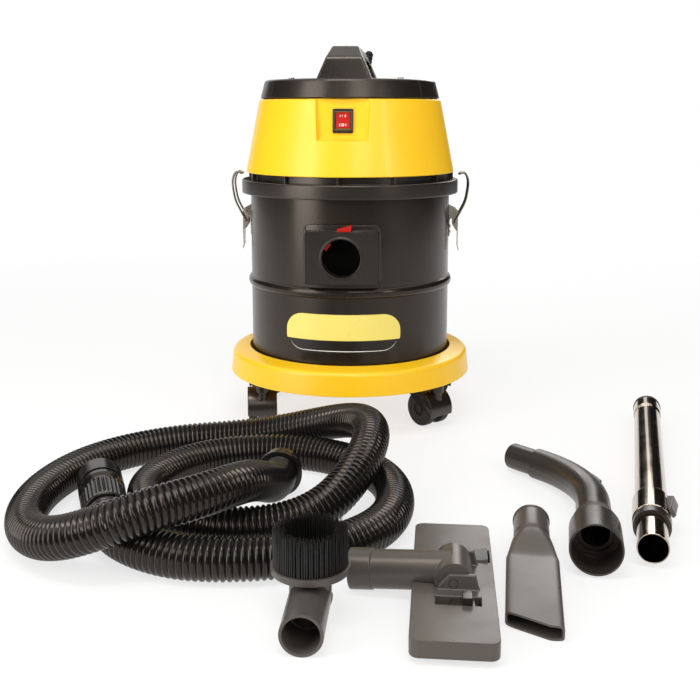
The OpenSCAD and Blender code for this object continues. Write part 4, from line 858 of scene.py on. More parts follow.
class VACUUM_OT_latches(PieceOperator):
    """Makes the two wire latches with their brackets and levers"""

    bl_idname = "vacuum.latches"
    bl_label = "Latches"

    def execute(self, context):
        top_z = RIM_Z + BAIL_RISE
        hook_x = BAND_R + BAIL_WIRE_R + BAIL_GAP
        x, w = LATCH_X, BAIL_HALF_W
        side = [*[(x + out, w, BAIL_Z + up) for out, up in BAIL_LOW],
                *[(x + out, w, top_z + up) for out, up in BAIL_BOW],
                (hook_x + 6, w, top_z), (hook_x + 1.5, w - 0.5, top_z - 1),
                (hook_x, w - 3, top_z - 2)]
        whole = through([*side, *[(p[0], -p[1], p[2]) for p in reversed(side)]], 5)
        for name, angle in (("right", 0), ("left", 180)):
            wire = Shape().tube(whole, BAIL_WIRE_R, BAIL_SIDES)
            for s in (-1, 1):
                wire.tube([(x, s * (LEVER_CHEEK - 2), BAIL_Z), (x, s * (w + BAIL_WIRE_R), BAIL_Z)],
                          BAIL_WIRE_R, BAIL_SIDES)
            piece(f"latch_{name}_wire", wire, finish("wire_steel"), f"bail_{name}",
                  AT_MACHINE @ turn(angle, "Z"), [f"latch_{name}_bail"])
            softened(f"latch_{name}_bracket", finish("zinc"), 0.25, segments=1)
            softened(f"latch_{name}_lever", finish("zinc"), 0.25, segments=1)
        return {"FINISHED"}


# ---- head ----
CONE_R0 = 153.7
CONE_R1 = 133
CONE_WALL = 3
CONE_FOOT_ROUND = 1.6
CONE_HEAD_ROUND = 3
CONE_HEAD_IN = 2.4
SHELL_HOLE_R = 100
SHELL_STEPS = 110
RECESS_W = 73
RECESS_H = 55
RECESS_SIDE_X = 60
RECESS_EDGE = 4.5
RECESS_TAPER = 3
RECESS_TOP_IN, RECESS_FOOT_IN = 9, 12


def cone_radius(z):
    """The head shell's outer radius at a height, with its foot and shoulder drawn in."""
    r = CONE_R0 + (CONE_R1 - CONE_R0) * (z - CONE_Z) / (CONE_TOP - CONE_Z)
    foot = max(0, CONE_FOOT_ROUND - (z - CONE_Z)) / CONE_FOOT_ROUND
    head = max(0, z - (CONE_TOP - CONE_HEAD_ROUND)) / CONE_HEAD_ROUND
    return (r - CONE_FOOT_ROUND * (1 - math.sqrt(1 - foot ** 2))
            - CONE_HEAD_IN * (1 - math.sqrt(max(0, 1 - head ** 2))))


def recess_plane(z):
    """How far before the axis the recess's back plane stands, at a height."""
    top = CONE_R1 - RECESS_TOP_IN
    rise = 1 - RECESS_H / (CONE_TOP - CONE_Z)
    bottom = CONE_R0 + (CONE_R1 - CONE_R0) * rise - RECESS_FOOT_IN
    return top + (bottom - top) * (CONE_TOP - z) / RECESS_H


def shell_front(x, z):
    """How far before the axis the shell's skin stands, with the switch's recess cut softly in."""
    surface = math.sqrt(max(cone_radius(z) ** 2 - x * x, 1))
    half_w = RECESS_W / 2 - RECESS_TAPER * (CONE_TOP - z) / RECESS_H
    inside = min(half_w - abs(x), z - (CONE_TOP - RECESS_H))
    depth = smooth_step((inside + RECESS_EDGE / 2) / RECESS_EDGE)
    return surface + (min(recess_plane(z), surface) - surface) * depth


class VACUUM_OT_head_shell(PieceOperator):
    """Makes the yellow head shell with the recess for the switch"""

    bl_idname = "vacuum.head_shell"
    bl_label = "Head shell"

    def execute(self, context):
        ledge_z = CONE_TOP - RECESS_H
        edge = RECESS_W / 2
        heights = self.graded((CONE_Z, CONE_Z + CONE_FOOT_ROUND, ledge_z - 2, ledge_z + 2,
                               CONE_TOP - CONE_HEAD_ROUND, CONE_TOP), (6, 16, 14, 22, 8))
        half = self.graded((0, edge - 5, edge + 1.5, RECESS_SIDE_X), (16, 40, 12))
        front_x = [-x for x in reversed(half[1:])] + half
        rings = []
        for z in heights:
            r = cone_radius(z)
            ring = [(x, -shell_front(x, z), z) for x in front_x]
            start = math.atan2(-math.sqrt(r * r - RECESS_SIDE_X ** 2), RECESS_SIDE_X)
            sweep = 2 * (math.pi / 2 - start)
            for k in range(1, SHELL_STEPS):
                a = start + sweep * k / SHELL_STEPS
                ring.append((r * math.cos(a), r * math.sin(a), z))
            rings.append(ring)
        rays = [Vector((x, y, 0)).normalized() for x, y, z in rings[-1]]
        inner = [(SHELL_HOLE_R, CONE_TOP), (SHELL_HOLE_R, CONE_TOP - CONE_WALL),
                 (CONE_R1 - CONE_WALL - 14, CONE_TOP - CONE_WALL),
                 (CONE_R0 - CONE_WALL - 16, CONE_Z + 30), (CONE_R0 - CONE_WALL, CONE_Z)]
        rings += [[ray * r + Vector((0, 0, z)) for ray in rays] for r, z in inner]
        shape = Shape().rings(rings, loop=True)
        piece("head_shell_moulding", shape, finish("shell_yellow"), "head", AT_MACHINE,
              ["head_shell"], crease=40)
        return {"FINISHED"}

    @staticmethod
    def graded(stops, counts):
        """Values from the first stop to the last, with a count of them between each two stops."""
        stretches = zip(stops, stops[1:], counts)
        return sorted({value for low, high, count in stretches
                       for value in np.linspace(low, high, count)})


class VACUUM_OT_head_base(PieceOperator):
    """Makes the head's black band with its air gap posts"""

    bl_idname = "vacuum.head_base"
    bl_label = "Head band"

    def execute(self, context):
        softened("head_base", finish("lid_black"), 0.7, angle=40)
        return {"FINISHED"}


COVER_R0 = 131.2
COVER_R1 = 124.6
COVER_H = 26
COVER_WALL = 3
COVER_ROUND = 5
DISH_R = 78
DISH_DEPTH = 10
COVER_GAP = 1.5
MOULD_LINE_ANGLE = 54  # to each side of the front, in degrees
MOULD_LINE_DOTS = 9
HANDLE_W0 = 75
HANDLE_W1 = 36.5
HANDLE_L = 232
GRIP_T = 17
HAND_L = 132
HANDLE_CELL = 1.6
HANDLE_SOFTNESS = 5
ALONG_X = Matrix(((0, 0, 1, 0), (1, 0, 0, 0), (0, 1, 0, 0), (0, 0, 0, 1)))


class VACUUM_OT_top_cover(PieceOperator):
    """Makes the black lid with its handle, screws and cord gland"""

    bl_idname = "vacuum.top_cover"
    bl_label = "Lid and handle"

    def execute(self, context):
        foot_z = CONE_TOP + COVER_GAP
        top_z = foot_z + COVER_H
        dish_z = top_z - DISH_DEPTH
        profile = rounded([(0, dish_z), (DISH_R, dish_z, 5), (DISH_R + 10, top_z, 4),
                           (COVER_R1, top_z, COVER_ROUND), (COVER_R0, foot_z, 0.8),
                           (COVER_R0 - COVER_WALL, foot_z),
                           (COVER_R0 - COVER_WALL - COVER_GAP, CONE_TOP),
                           (COVER_R1 - COVER_WALL - 2, top_z - 6, 2),
                           (COVER_R1 - 8, top_z - COVER_WALL, 2),
                           (DISH_R + 12, top_z - COVER_WALL, 3),
                           (DISH_R + 3, dish_z - COVER_WALL, 3), (0, dish_z - COVER_WALL)])
        shape = self.handle(top_z, dish_z).lathe(profile, 144, loop=False)
        piece("lid_and_handle", shape, finish("lid_black"), "head", AT_MACHINE,
              ["top_cover"])
        dots = Shape()
        for side in (-1, 1):
            self.mould_line(dots, math.radians(-90 + MOULD_LINE_ANGLE * side), foot_z)
        # The dots' relief is real; their lighter finish is a painted highlight.
        piece("lid_mould_lines", dots, finish("mould_line"), "head", AT_MACHINE)
        dress("cover_screws", finish("zinc"))
        softened("cord_gland", finish("pad_rubber"), 0.5)
        return {"FINISHED"}

    def handle(self, top_z, dish_z):
        """The handle: where its end view and side view meet, less the opening for the hand."""
        handle_top = box_mm("top_cover")[1].z
        grip_z = handle_top - GRIP_T
        foot = dish_z - 1
        half_w, half_top = HANDLE_W0 / 2, HANDLE_W1 / 2
        end_view = mirrored([(half_w, foot), (half_w, top_z, 2), (half_top, handle_top, 3)])
        half_l = HANDLE_L / 2
        side_view = mirrored([(half_l + 3, foot), (half_l, top_z, 2), (half_l - 6, top_z + 29, 8),
                              (half_l - 32, handle_top, 10)])
        hand = HAND_L / 2
        opening = mirrored([(hand + 4, dish_z), (hand, grip_z - 8, 6), (hand - 8, grip_z, 6)])
        solid = Shape().prism(end_view, -half_l - 5, half_l + 5, turn(90, "X"))
        solid.meet(Shape().prism(side_view, -half_w - 5, half_w + 5, ALONG_X))
        solid.cut(Shape().prism(opening, -half_w - 5, half_w + 5, ALONG_X))
        return solid.melt(HANDLE_CELL, HANDLE_SOFTNESS)

    @staticmethod
    def mould_line(shape, angle, foot_z):
        """A faint upright row of dots that the mould leaves on the lid's side."""
        out = Vector((math.cos(angle), math.sin(angle), 0))
        for k in range(MOULD_LINE_DOTS):
            share = (k + 1) / (MOULD_LINE_DOTS + 1)
            r = COVER_R0 + (COVER_R1 - COVER_R0) * share - 0.2
            at = out * r + Vector((0, 0, foot_z + COVER_H * share))
            shape.tube([at, at + out * 0.3, at + out * 0.5], lambda way: 0.75 - 0.3 * way, 6)


# ---- switch ----
MARK_T = 0.16
MARK_ROOT = -0.1
MARK_H = 3.4
# The rocker's upright strokes: x and z from its middle, and thickness.
MARK_LINES = ((-3.6, 6, 0.5), (-0.6, 6, 0.5), (3.2, 6, 1.5), (-4.2, -6, 0.9), (4.2, -6, 0.6))
OFF_RING = (arc(1.9, 0, 345, 23), arc(1.1, 0, 345, 23))


class VACUUM_OT_switch(PieceOperator):
    """Makes the rocker switch with its bezel and its on and off marks"""

    bl_idname = "vacuum.switch"
    bl_label = "Switch"

    def execute(self, context):
        bezel = softened("switch_bezel", finish("lid_black"), 0.6)
        rocker = softened("switch_rocker", finish("rocker_red"), 0.8)
        depsgraph = bpy.context.evaluated_depsgraph_get()
        low, high = box_mm("switch_rocker")
        middle = (low + high) / 2
        middle.y = low.y
        wide, tall = high.x - low.x, high.z - low.z
        rim = Shape()
        edges = [rounded_box(wide + 3.6, tall + 3.6, 1), rounded_box(wide + 1.4, tall + 1.4, 0.5)]
        self.emboss(rim, BVHTree.FromObject(bezel, depsgraph), edges, middle)
        piece("switch_inner_rim", rim, finish("bezel_brown"), "head")
        skin = BVHTree.FromObject(rocker, depsgraph)
        marks = Shape()
        for x, z, thick in MARK_LINES:
            stroke = rounded_box(thick, MARK_H, thick / 2 - 0.01)
            self.emboss(marks, skin, [stroke], middle + Vector((x, 0, z)))
        self.emboss(marks, skin, OFF_RING, middle - Vector((0, 0, 6)))
        piece("switch_marks", marks, finish("mark_white"), "switch")
        return {"FINISHED"}

    @staticmethod
    def emboss(marks, skin, outlines, centre):
        """Lays a mark on a skin, just proud of it: one outline filled, or a ring between two."""
        def on_skin(x, z, proud):
            start = Vector((centre.x + x, centre.y - 20, centre.z + z)) * MM
            hit = skin.ray_cast(start, Vector((0, 1, 0)))[0]
            return Vector(hit) / MM - Vector((0, proud, 0))

        outer, inner = outlines[0], outlines[-1]
        layers = [(outer, MARK_ROOT), (outer, MARK_T)]
        if len(outlines) == 2:
            layers += [(inner, MARK_T), (inner, MARK_ROOT)]
        rings = [[on_skin(x, z, proud) for x, z in line] for line, proud in layers]
        marks.rings(rings, loop=len(outlines) == 2)


# ---- motor ----
MOTOR_FINISHES = (  # node, finish and slot
    ("motor_fan_housing", "zinc", "steel"),
    ("motor_fan", "zinc", "steel"),
    ("motor_frame", "lamination", "motor_dark"),
    ("motor_stator", "copper", "motor_dark"),
    ("motor_armature", "lamination", "steel"),
    ("motor_bearings", "tube_chrome", "chrome"),
    ("carbon_brushes", "pad_rubber", "motor_dark"),
)


class VACUUM_OT_motor(PieceOperator):
    """Gives the motor and fan inside the head their finishes"""

    bl_idname = "vacuum.motor"
    bl_label = "Motor and fan"

    def execute(self, context):
        for node, paint, slot in MOTOR_FINISHES:
            dress(node, finish(paint))
        return {"FINISHED"}


# ---- float and filter ----
BAG_SEAM = 2.2
BAG_STEPS = 208
BAG_MESH = 7


class VACUUM_OT_filter(PieceOperator):
    """Makes the pleated cloth filter bag and dresses the float in its cage"""

    bl_idname = "vacuum.filter"
    bl_label = "Filter bag and float"

    def execute(self, context):
        size = context.scene.vacuum_sizes
        low, high = box_mm("filter_bag")
        r = (high.x - low.x) / 2
        z0, z1 = low.z, high.z
        outside = [(0, z0 + 1), (r - 40, z0 + 1, 14), (r - 21, z0 + 8, 14), (r - 10, z0 + 22, 12),
                   (r - 3.5, z1 - 26), (r - 3.4, z1 - 14, 1), (r - 0.6, z1 - 13, 1),
                   (r - 0.2, z1 - 2, 1), (r - BAG_SEAM, z1, 0.6)]
        inside = [(r - BAG_SEAM - 0.8, z1 - 12), (r - 5.4, z1 - 26), (r - 12, z0 + 24, 12),
                  (r - 23, z0 + 10.5, 12), (r - 41, z0 + 3, 12), (0, z0 + 3)]
        skin = rounded(outside + inside)

        def pleated(radius, z, angle):
            slack = smooth_step((z1 - 16 - z) / 50) * smooth_step(radius / 60)
            fold = 0.5 - 0.5 * math.cos(size.bag_pleats * angle + 0.8 * math.sin(3 * angle))
            return radius - slack * (1.6 * fold + 0.8 * math.sin(5 * angle + z / 19) ** 2)

        shape = Shape().lathe(finer(skin, BAG_MESH), BAG_STEPS, loop=False, radius=pleated)
        piece("filter_bag_cloth", shape, finish("filter_cloth"), "head", AT_MACHINE,
              ["filter_bag"], crease=70)
        dress("float_cage", finish("lid_black"))
        dress("float_ball", finish("catch_red"))
        return {"FINISHED"}


# ---- hose ----
# Control points of the hose's middle line, in metres from the coil's middle, as in the CAD model.
HOSE_POINTS = [
    (0.064, 0.088, 0.0275), (0.064, 0.066, 0.0275), (0.064, 0.044, 0.0275), (0.064, 0.020, 0.028),
    (0.064, -0.006, 0.033), (0.063, -0.034, 0.044), (0.059, -0.064, 0.058),
    (0.050, -0.096, 0.070), (0.034, -0.128, 0.074), (0.008, -0.158, 0.074),
    (-0.028, -0.183, 0.072), (-0.068, -0.194, 0.060), (-0.108, -0.188, 0.043),
    (-0.146, -0.164, 0.029), (-0.176, -0.128, 0.022), (-0.194, -0.084, 0.022),
    (-0.200, -0.036, 0.022), (-0.196, 0.014, 0.022), (-0.182, 0.062, 0.022),
    (-0.156, 0.104, 0.022), (-0.120, 0.138, 0.022), (-0.078, 0.164, 0.022),
    (-0.032, 0.180, 0.022), (0.016, 0.186, 0.025), (0.062, 0.182, 0.035), (0.104, 0.168, 0.049),
    (0.140, 0.142, 0.063), (0.164, 0.106, 0.072), (0.174, 0.062, 0.073), (0.170, 0.014, 0.066),
    (0.156, -0.030, 0.050), (0.132, -0.066, 0.033), (0.098, -0.092, 0.024),
    (0.058, -0.106, 0.022), (0.016, -0.108, 0.022), (-0.020, -0.098, 0.022),
    (-0.050, -0.076, 0.022), (-0.072, -0.044, 0.022), (-0.084, -0.006, 0.022),
    (-0.080, 0.034, 0.022), (-0.062, 0.072, 0.022), (-0.034, 0.104, 0.022), (0.006, 0.126, 0.022),
    (0.050, 0.134, 0.022), (0.094, 0.128, 0.022), (0.136, 0.108, 0.022), (0.169, 0.078, 0.022),
    (0.192, 0.040, 0.022), (0.203, -0.004, 0.022), (0.203, -0.050, 0.022), (0.190, -0.094, 0.022),
    (0.164, -0.130, 0.022), (0.130, -0.156, 0.022), (0.088, -0.172, 0.022),
    (0.044, -0.180, 0.022), (0.002, -0.180, 0.022), (-0.036, -0.168, 0.023),
    (-0.068, -0.150, 0.0255), (-0.090, -0.122, 0.02575), (-0.102, -0.092, 0.02575),
    (-0.114, -0.062, 0.02575)]
HOSE_R = 22
HOSE_BORE_R = 17.6
HOSE_SIDES = 28
RINGS_PER_RIB = 6
ROUTE_STEPS = 6000
COLLAR_AT = 30
CUFF_MESH = 2.5
# Sections of the cuff and the collar: radius, distance along the hose, rounding of the corner.
CUFF_SECTION = [
    (HOSE_BORE_R, 0, 0.6), (24.9, 0, 1.6), (25.3, 52, 1.2), (23.6, 54, 1.5), (23.6, 58, 1.5),
    (25.75, 64, 1.5), (25.75, 72, 0.4), (22.6, 72, 0.3), (22.6, 78, 0.3), (25.75, 78, 0.4),
    (25.75, 110, 1.2), (21, 110, 0.6), (21, 56, 0.5), (HOSE_BORE_R, 56, 0.5)]
COLLAR_BORE_R = HOSE_R + 0.2
COLLAR_SECTION = [
    (COLLAR_BORE_R, -26, 0.3), (24.25, -26, 1), (24.25, -18, 0.4), (23.4, -17.4, 0.3),
    (23.4, -14, 0.3), (24.25, -13.4, 0.4), (24.25, -5, 0.6), (27.5, -4.4, 0.8), (27.5, 0, 0.8),
    (COLLAR_BORE_R, 0, 0.4)]


class Route:
    """The hose's middle line, a cubic B-spline, in millimetres in the shared frame."""

    def __init__(self):
        control = np.array(HOSE_POINTS) / MM
        control[:, 0] += AXIS.x + COIL_AT[0]
        control[:, 1] += AXIS.y + COIL_AT[1]
        spans = len(control) - 3
        u = np.linspace(0, spans, ROUTE_STEPS)
        i = np.minimum(u.astype(int), spans - 1)
        t = (u - i)[:, None]
        self.line = ((1 - t) ** 3 * control[i] + (3 * t ** 3 - 6 * t ** 2 + 4) * control[i + 1]
                     + (-3 * t ** 3 + 3 * t ** 2 + 3 * t + 1) * control[i + 2]
                     + t ** 3 * control[i + 3]) / 6
        steps = np.linalg.norm(np.diff(self.line, axis=0), axis=1)
        self.way = np.concatenate([[0], np.cumsum(steps)])
        self.length = float(self.way[-1])

    def point(self, s):
        """The point that far along."""
        return Vector([float(np.interp(s, self.way, self.line[:, k])) for k in range(3)])

    def frame(self, s):
        """The frame at that point, its Y axis along the hose."""
        ahead = self.point(min(s + 2, self.length))
        back = self.point(max(s - 2, 0))
        return along(self.point(s), ahead - back)


def rib_radius(phase, depth):
    """The hose's outer radius at a phase of its rib, 0 to 1: a round crest over a narrow valley."""
    crest = max(0, 1 - abs((phase - 0.5) / 0.42) ** 2.6)
    return HOSE_R - depth * (1 - crest)


class VACUUM_OT_hose(PieceOperator):
    """Makes the ribbed hose along its route, with its collar and its cuff"""

    bl_idname = "vacuum.hose"
    bl_label = "Hose"

    def execute(self, context):
        size = context.scene.vacuum_sizes
        route = Route()
        ribs = round(route.length / (size.rib_pitch / MM))
        count = ribs * RINGS_PER_RIB
        depth = size.rib_depth / MM
        frames = [route.frame(route.length * j / count) for j in range(count + 1)]
        angles = np.linspace(0, 2 * math.pi, HOSE_SIDES + 1)[:-1]
        circle = [(math.cos(a), math.sin(a)) for a in angles]

        def ring(place, r):
            return [place @ Vector((r * c, 0, r * s)) for c, s in circle]

        outside = [ring(place, rib_radius(j / RINGS_PER_RIB % 1, depth))
                   for j, place in enumerate(frames)]
        inside = [ring(place, HOSE_BORE_R) for place in frames[::RINGS_PER_RIB]]
        shape = Shape().rings([*outside, *reversed(inside)], loop=True)
        hose = piece("hose_ribbed", shape, finish("hose_black"), "machine",
                     stands_for=["hose"], crease=60)
        cuff = self.cuff(route, size)
        collar = self.collar(route)
        return {"FINISHED"}

    def cuff(self, route, size):
        """The fluted cuff that plugs into the machine's inlet."""
        profile = rounded(CUFF_SECTION, steps=4)
        profile = finer(profile + profile[:1], CUFF_MESH)[:-1]

        def fluted(r, z, angle):
            on_grip = smooth_step((z - 4) / 3) * smooth_step((50 - z) / 3) * (r > 22)
            return r - on_grip * 1.3 * (0.5 - 0.5 * math.cos(size.cuff_flutes * angle)) ** 2

        shape = Shape().lathe(profile, size.cuff_flutes * 8, turn(-90, "X"), radius=fluted)
        return piece("hose_cuff_fluted", shape, finish("hose_black"), "machine",
                     route.frame(route.length), ["hose_cuff"], crease=40)

    def collar(self, route):
        """The flanged snap collar near the other end."""
        profile = rounded(COLLAR_SECTION, steps=4)
        shape = Shape().lathe(profile, 72, turn(-90, "X"))
        return piece("hose_collar_ring", shape, finish("hose_black"), "machine",
                     route.frame(COLLAR_AT), ["hose_collar"])


# ---- wand ----
WAND_L = 493
WAND_R = 17.5
SPIGOT_R = 16
SPIGOT_END = 46
INNER_R = 15.6
FLARE_R = 20.5
FLARE_Y = 66
FLARE_L = 58
SOCKET_R = 19.25
SOCKET_L = 42
SOCKET_BORE_R = 16.15
INNER_L = 442


class VACUUM_OT_wand(PieceOperator):
    """Makes the telescopic chrome wand with its collar and catch"""

    bl_idname = "vacuum.wand"
    bl_label = "Wand"

    def execute(self, context):
        at = laid(WAND_AT, WAND_TURN, FLARE_R) @ turn(-90, "X")
        flare_end = FLARE_Y + FLARE_L
        socket_y = WAND_L - SOCKET_L
        outer_in_r, inner_in_r = SPIGOT_R + 0.5, SPIGOT_R - 1.2
        outer = rounded([(outer_in_r, FLARE_Y, 0.3), (FLARE_R, FLARE_Y, 1.4),
                         (FLARE_R, flare_end - 5, 6), (WAND_R, flare_end, 6),
                         (WAND_R, socket_y - 3, 2), (WAND_R + 0.9, socket_y - 1, 1),
                         (WAND_R + 0.3, socket_y + 1, 1),
                         (SOCKET_R - 0.6, socket_y + 4, 3), (SOCKET_R - 0.6, WAND_L - 4.4),
                         (SOCKET_BORE_R, WAND_L - 4.4), (SOCKET_BORE_R, socket_y + 2),
                         (outer_in_r, socket_y + 1)], steps=7)
        piece("wand_outer_tube", Shape().lathe(outer, 96), finish("tube_chrome"), "machine",
              at, ["wand_outer"], crease=35)
        end_ring = rounded([(SOCKET_BORE_R, WAND_L - 6, 0.4), (SOCKET_R - 0.7, WAND_L - 6),
                            (SOCKET_R, WAND_L - 5, 0.4), (SOCKET_R, WAND_L, 0.9),
                            (SOCKET_BORE_R, WAND_L, 0.9)])
        piece("wand_end_ring", Shape().lathe(end_ring, 72), finish("lid_black"), "machine",
              at)
        inner = rounded([(inner_in_r, 0, 0.4), (SPIGOT_R, 0, 0.8), (SPIGOT_R, SPIGOT_END, 0.3),
                         (INNER_R, SPIGOT_END + 0.6, 0.3), (INNER_R, INNER_L),
                         (inner_in_r, INNER_L)])
        piece("wand_inner_tube", Shape().lathe(inner, 96), finish("tube_chrome"), "wand_inside",
              at, ["wand_inner"])
        softened("wand_collar", finish("lid_black"), 0.6)
        softened("wand_catch", finish("tool_grey"), 0.9)
        return {"FINISHED"}


# ---- grip ----
GRIP_R = 18.5
GRIP_BORE_R = 14.5
GRIP_BEND_R = 170
GRIP_BEND = 50
GRIP_STRAIGHT_L = 128
GRIP_SIDES = 72
GRIP_SEAM = 0.5
GRIP_CUFF_R = 26.5
GRIP_CUFF_BORE_R = 24.5
GRIP_CUFF_L = 54
GRIP_SHOULDER_L = 30
GRIP_RIBS = 5
GRIP_COLLAR_L = 8
GRIP_SPIGOT_L = 45


def grip_frame():
    """The grip's own frame: the cuff's open end at the origin, the tube along Y, bending to -X."""
    bow_end = (GRIP_STRAIGHT_L + GRIP_BEND_R * math.sin(math.radians(GRIP_BEND))
               + GRIP_COLLAR_L * math.cos(math.radians(GRIP_BEND)))
    dip = math.degrees(math.asin((GRIP_CUFF_R - GRIP_R) / (bow_end - GRIP_CUFF_L)))
    z = GRIP_CUFF_R * math.cos(math.radians(dip)) + GRIP_CUFF_L * math.sin(math.radians(dip))
    return laid(GRIP_AT, GRIP_TURN, z) @ turn(-dip, "X")


def grip_line(s):
    """Point and heading of the grip's middle line, s along it."""
    bend_l = GRIP_BEND_R * math.radians(GRIP_BEND)
    if s <= GRIP_STRAIGHT_L:
        return Vector((0, s, 0)), Vector((0, 1, 0))
    a = min((s - GRIP_STRAIGHT_L) / GRIP_BEND_R, math.radians(GRIP_BEND))
    point = Vector((-GRIP_BEND_R + GRIP_BEND_R * math.cos(a),
                    GRIP_STRAIGHT_L + GRIP_BEND_R * math.sin(a), 0))
    heading = Vector((-math.sin(a), math.cos(a), 0))
    return point + heading * max(0, s - GRIP_STRAIGHT_L - bend_l), heading


class VACUUM_OT_grip(PieceOperator):
    """Makes the bent grip with its cuff and its air regulator"""

    bl_idname = "vacuum.grip"
    bl_label = "Grip"

    def execute(self, context):
        at = grip_frame()
        bend_end = GRIP_STRAIGHT_L + GRIP_BEND_R * math.radians(GRIP_BEND)
        collar_end = bend_end + GRIP_COLLAR_L
        end = bend_end + GRIP_SPIGOT_L
        first = GRIP_CUFF_L - 8
        stations = [(first, GRIP_BORE_R), (first, GRIP_R)]
        stations += [(s, GRIP_R) for s in np.linspace(first + 2, collar_end - 3, 90)]
        stations += [(collar_end - 3 + 3 * k / 6, GRIP_R - (GRIP_R - SPIGOT_R) * smooth_step(k / 6))
                     for k in range(1, 7)]
        stations += [(s, SPIGOT_R) for s in np.linspace(collar_end + 1, end - 1, 8)]
        stations += [(end - 0.3, SPIGOT_R - 0.25), (end, SPIGOT_R - 0.8), (end, GRIP_BORE_R)]
        stations += [(s, GRIP_BORE_R) for s in np.linspace(end - 2, first + 2, 70)]
        rings = []
        for s, r in stations:
            point, heading = grip_line(s)
            side = Vector((heading.y, -heading.x, 0))
            up = Vector((0, 0, 1))
            # A moulded seam runs along the inner side of the bend.
            seam_here = GRIP_SEAM if GRIP_R - 1 < r and s < collar_end - 6 else 0
            ring = []
            for k in range(GRIP_SIDES):
                a = 2 * math.pi * k / GRIP_SIDES
                seam = seam_here * max(0, 1 - abs((a - math.pi) / 0.05))
                ring.append(point + (r + seam) * (math.cos(a) * side + math.sin(a) * up))
            rings.append(ring)
        piece("grip_bent_tube", Shape().rings(rings, loop=True), finish("grip_black"), "machine",
              at, ["grip_tube"], crease=40)
        self.cuff(at)
        softened("grip_regulator", finish("lid_black"), 0.9)
        return {"FINISHED"}

    def cuff(self, at):
        """The wide cuff that the hose's collar snaps into, with ribs on its shoulder."""
        end = GRIP_CUFF_L + GRIP_SHOULDER_L
        end_r = GRIP_R + 2.2
        ribs = []
        for k in range(GRIP_RIBS):
            y = GRIP_CUFF_L + 2 + 24 * k / GRIP_RIBS
            r = GRIP_CUFF_R + (end_r - GRIP_CUFF_R) * (y - GRIP_CUFF_L) / GRIP_SHOULDER_L
            ribs += [(r, y, 0.5), (r - 1.1, y + 0.8, 0.4), (r - 1.2, y + 1.8, 0.4),
                     (r - 0.5, y + 2.6, 0.5)]
        in_r, step_y = GRIP_R + 0.15, GRIP_CUFF_L - 12
        profile = rounded([(GRIP_CUFF_BORE_R, 0, 0.8), (GRIP_CUFF_R, 0, 1.2),
                           (GRIP_CUFF_R, GRIP_CUFF_L, 3), *ribs, (end_r, end - 1, 1),
                           (in_r, end, 0.4), (in_r, step_y, 0.5), (GRIP_CUFF_BORE_R, step_y, 0.5)],
                          steps=4)
        shape = Shape().lathe(profile, 96, turn(-90, "X"))
        hole = Shape().prism(rounded_box(7, 7, 1.5), GRIP_CUFF_R - 5, GRIP_CUFF_R + 4,
                             shift(0, 9, 0) @ turn(90, "Y"))
        piece("grip_cuff_ribbed", shape.cut(hole), finish("grip_black"), "machine",
              at, ["grip_cuff"], crease=38)


# ---- crevice tool ----
CREVICE_L = 204
CREVICE_W = 51
CREVICE_T = 15
CREVICE_NECK_Y = 165
CREVICE_BODY_Y = 115
CREVICE_SLANT = 18
CREVICE_SPINE_END = 78
CREVICE_BORE_R = 13.8
CREVICE_WALL = 2
CREVICE_SIDES = 72
CREVICE_FLAT = (0, 1, 4, 10, 20, 34, 48, 62, 76, 88, 98, 106, CREVICE_BODY_Y)
CREVICE_BORE = (150, 135, CREVICE_BODY_Y, 80, 40, 10, 0)
CREVICE_NECK_STEPS = 14


def squared_ring(half_w, half_h, power):
    """A ring between an ellipse (power 2) and a rectangle (a high power)."""
    ring = []
    for k in range(CREVICE_SIDES):
        a = 2 * math.pi * k / CREVICE_SIDES
        c, s = math.cos(a), math.sin(a)
        reach = (abs(c) ** power + abs(s) ** power) ** (-1 / power)
        ring.append((half_w * c * reach, half_h * s * reach))
    return ring


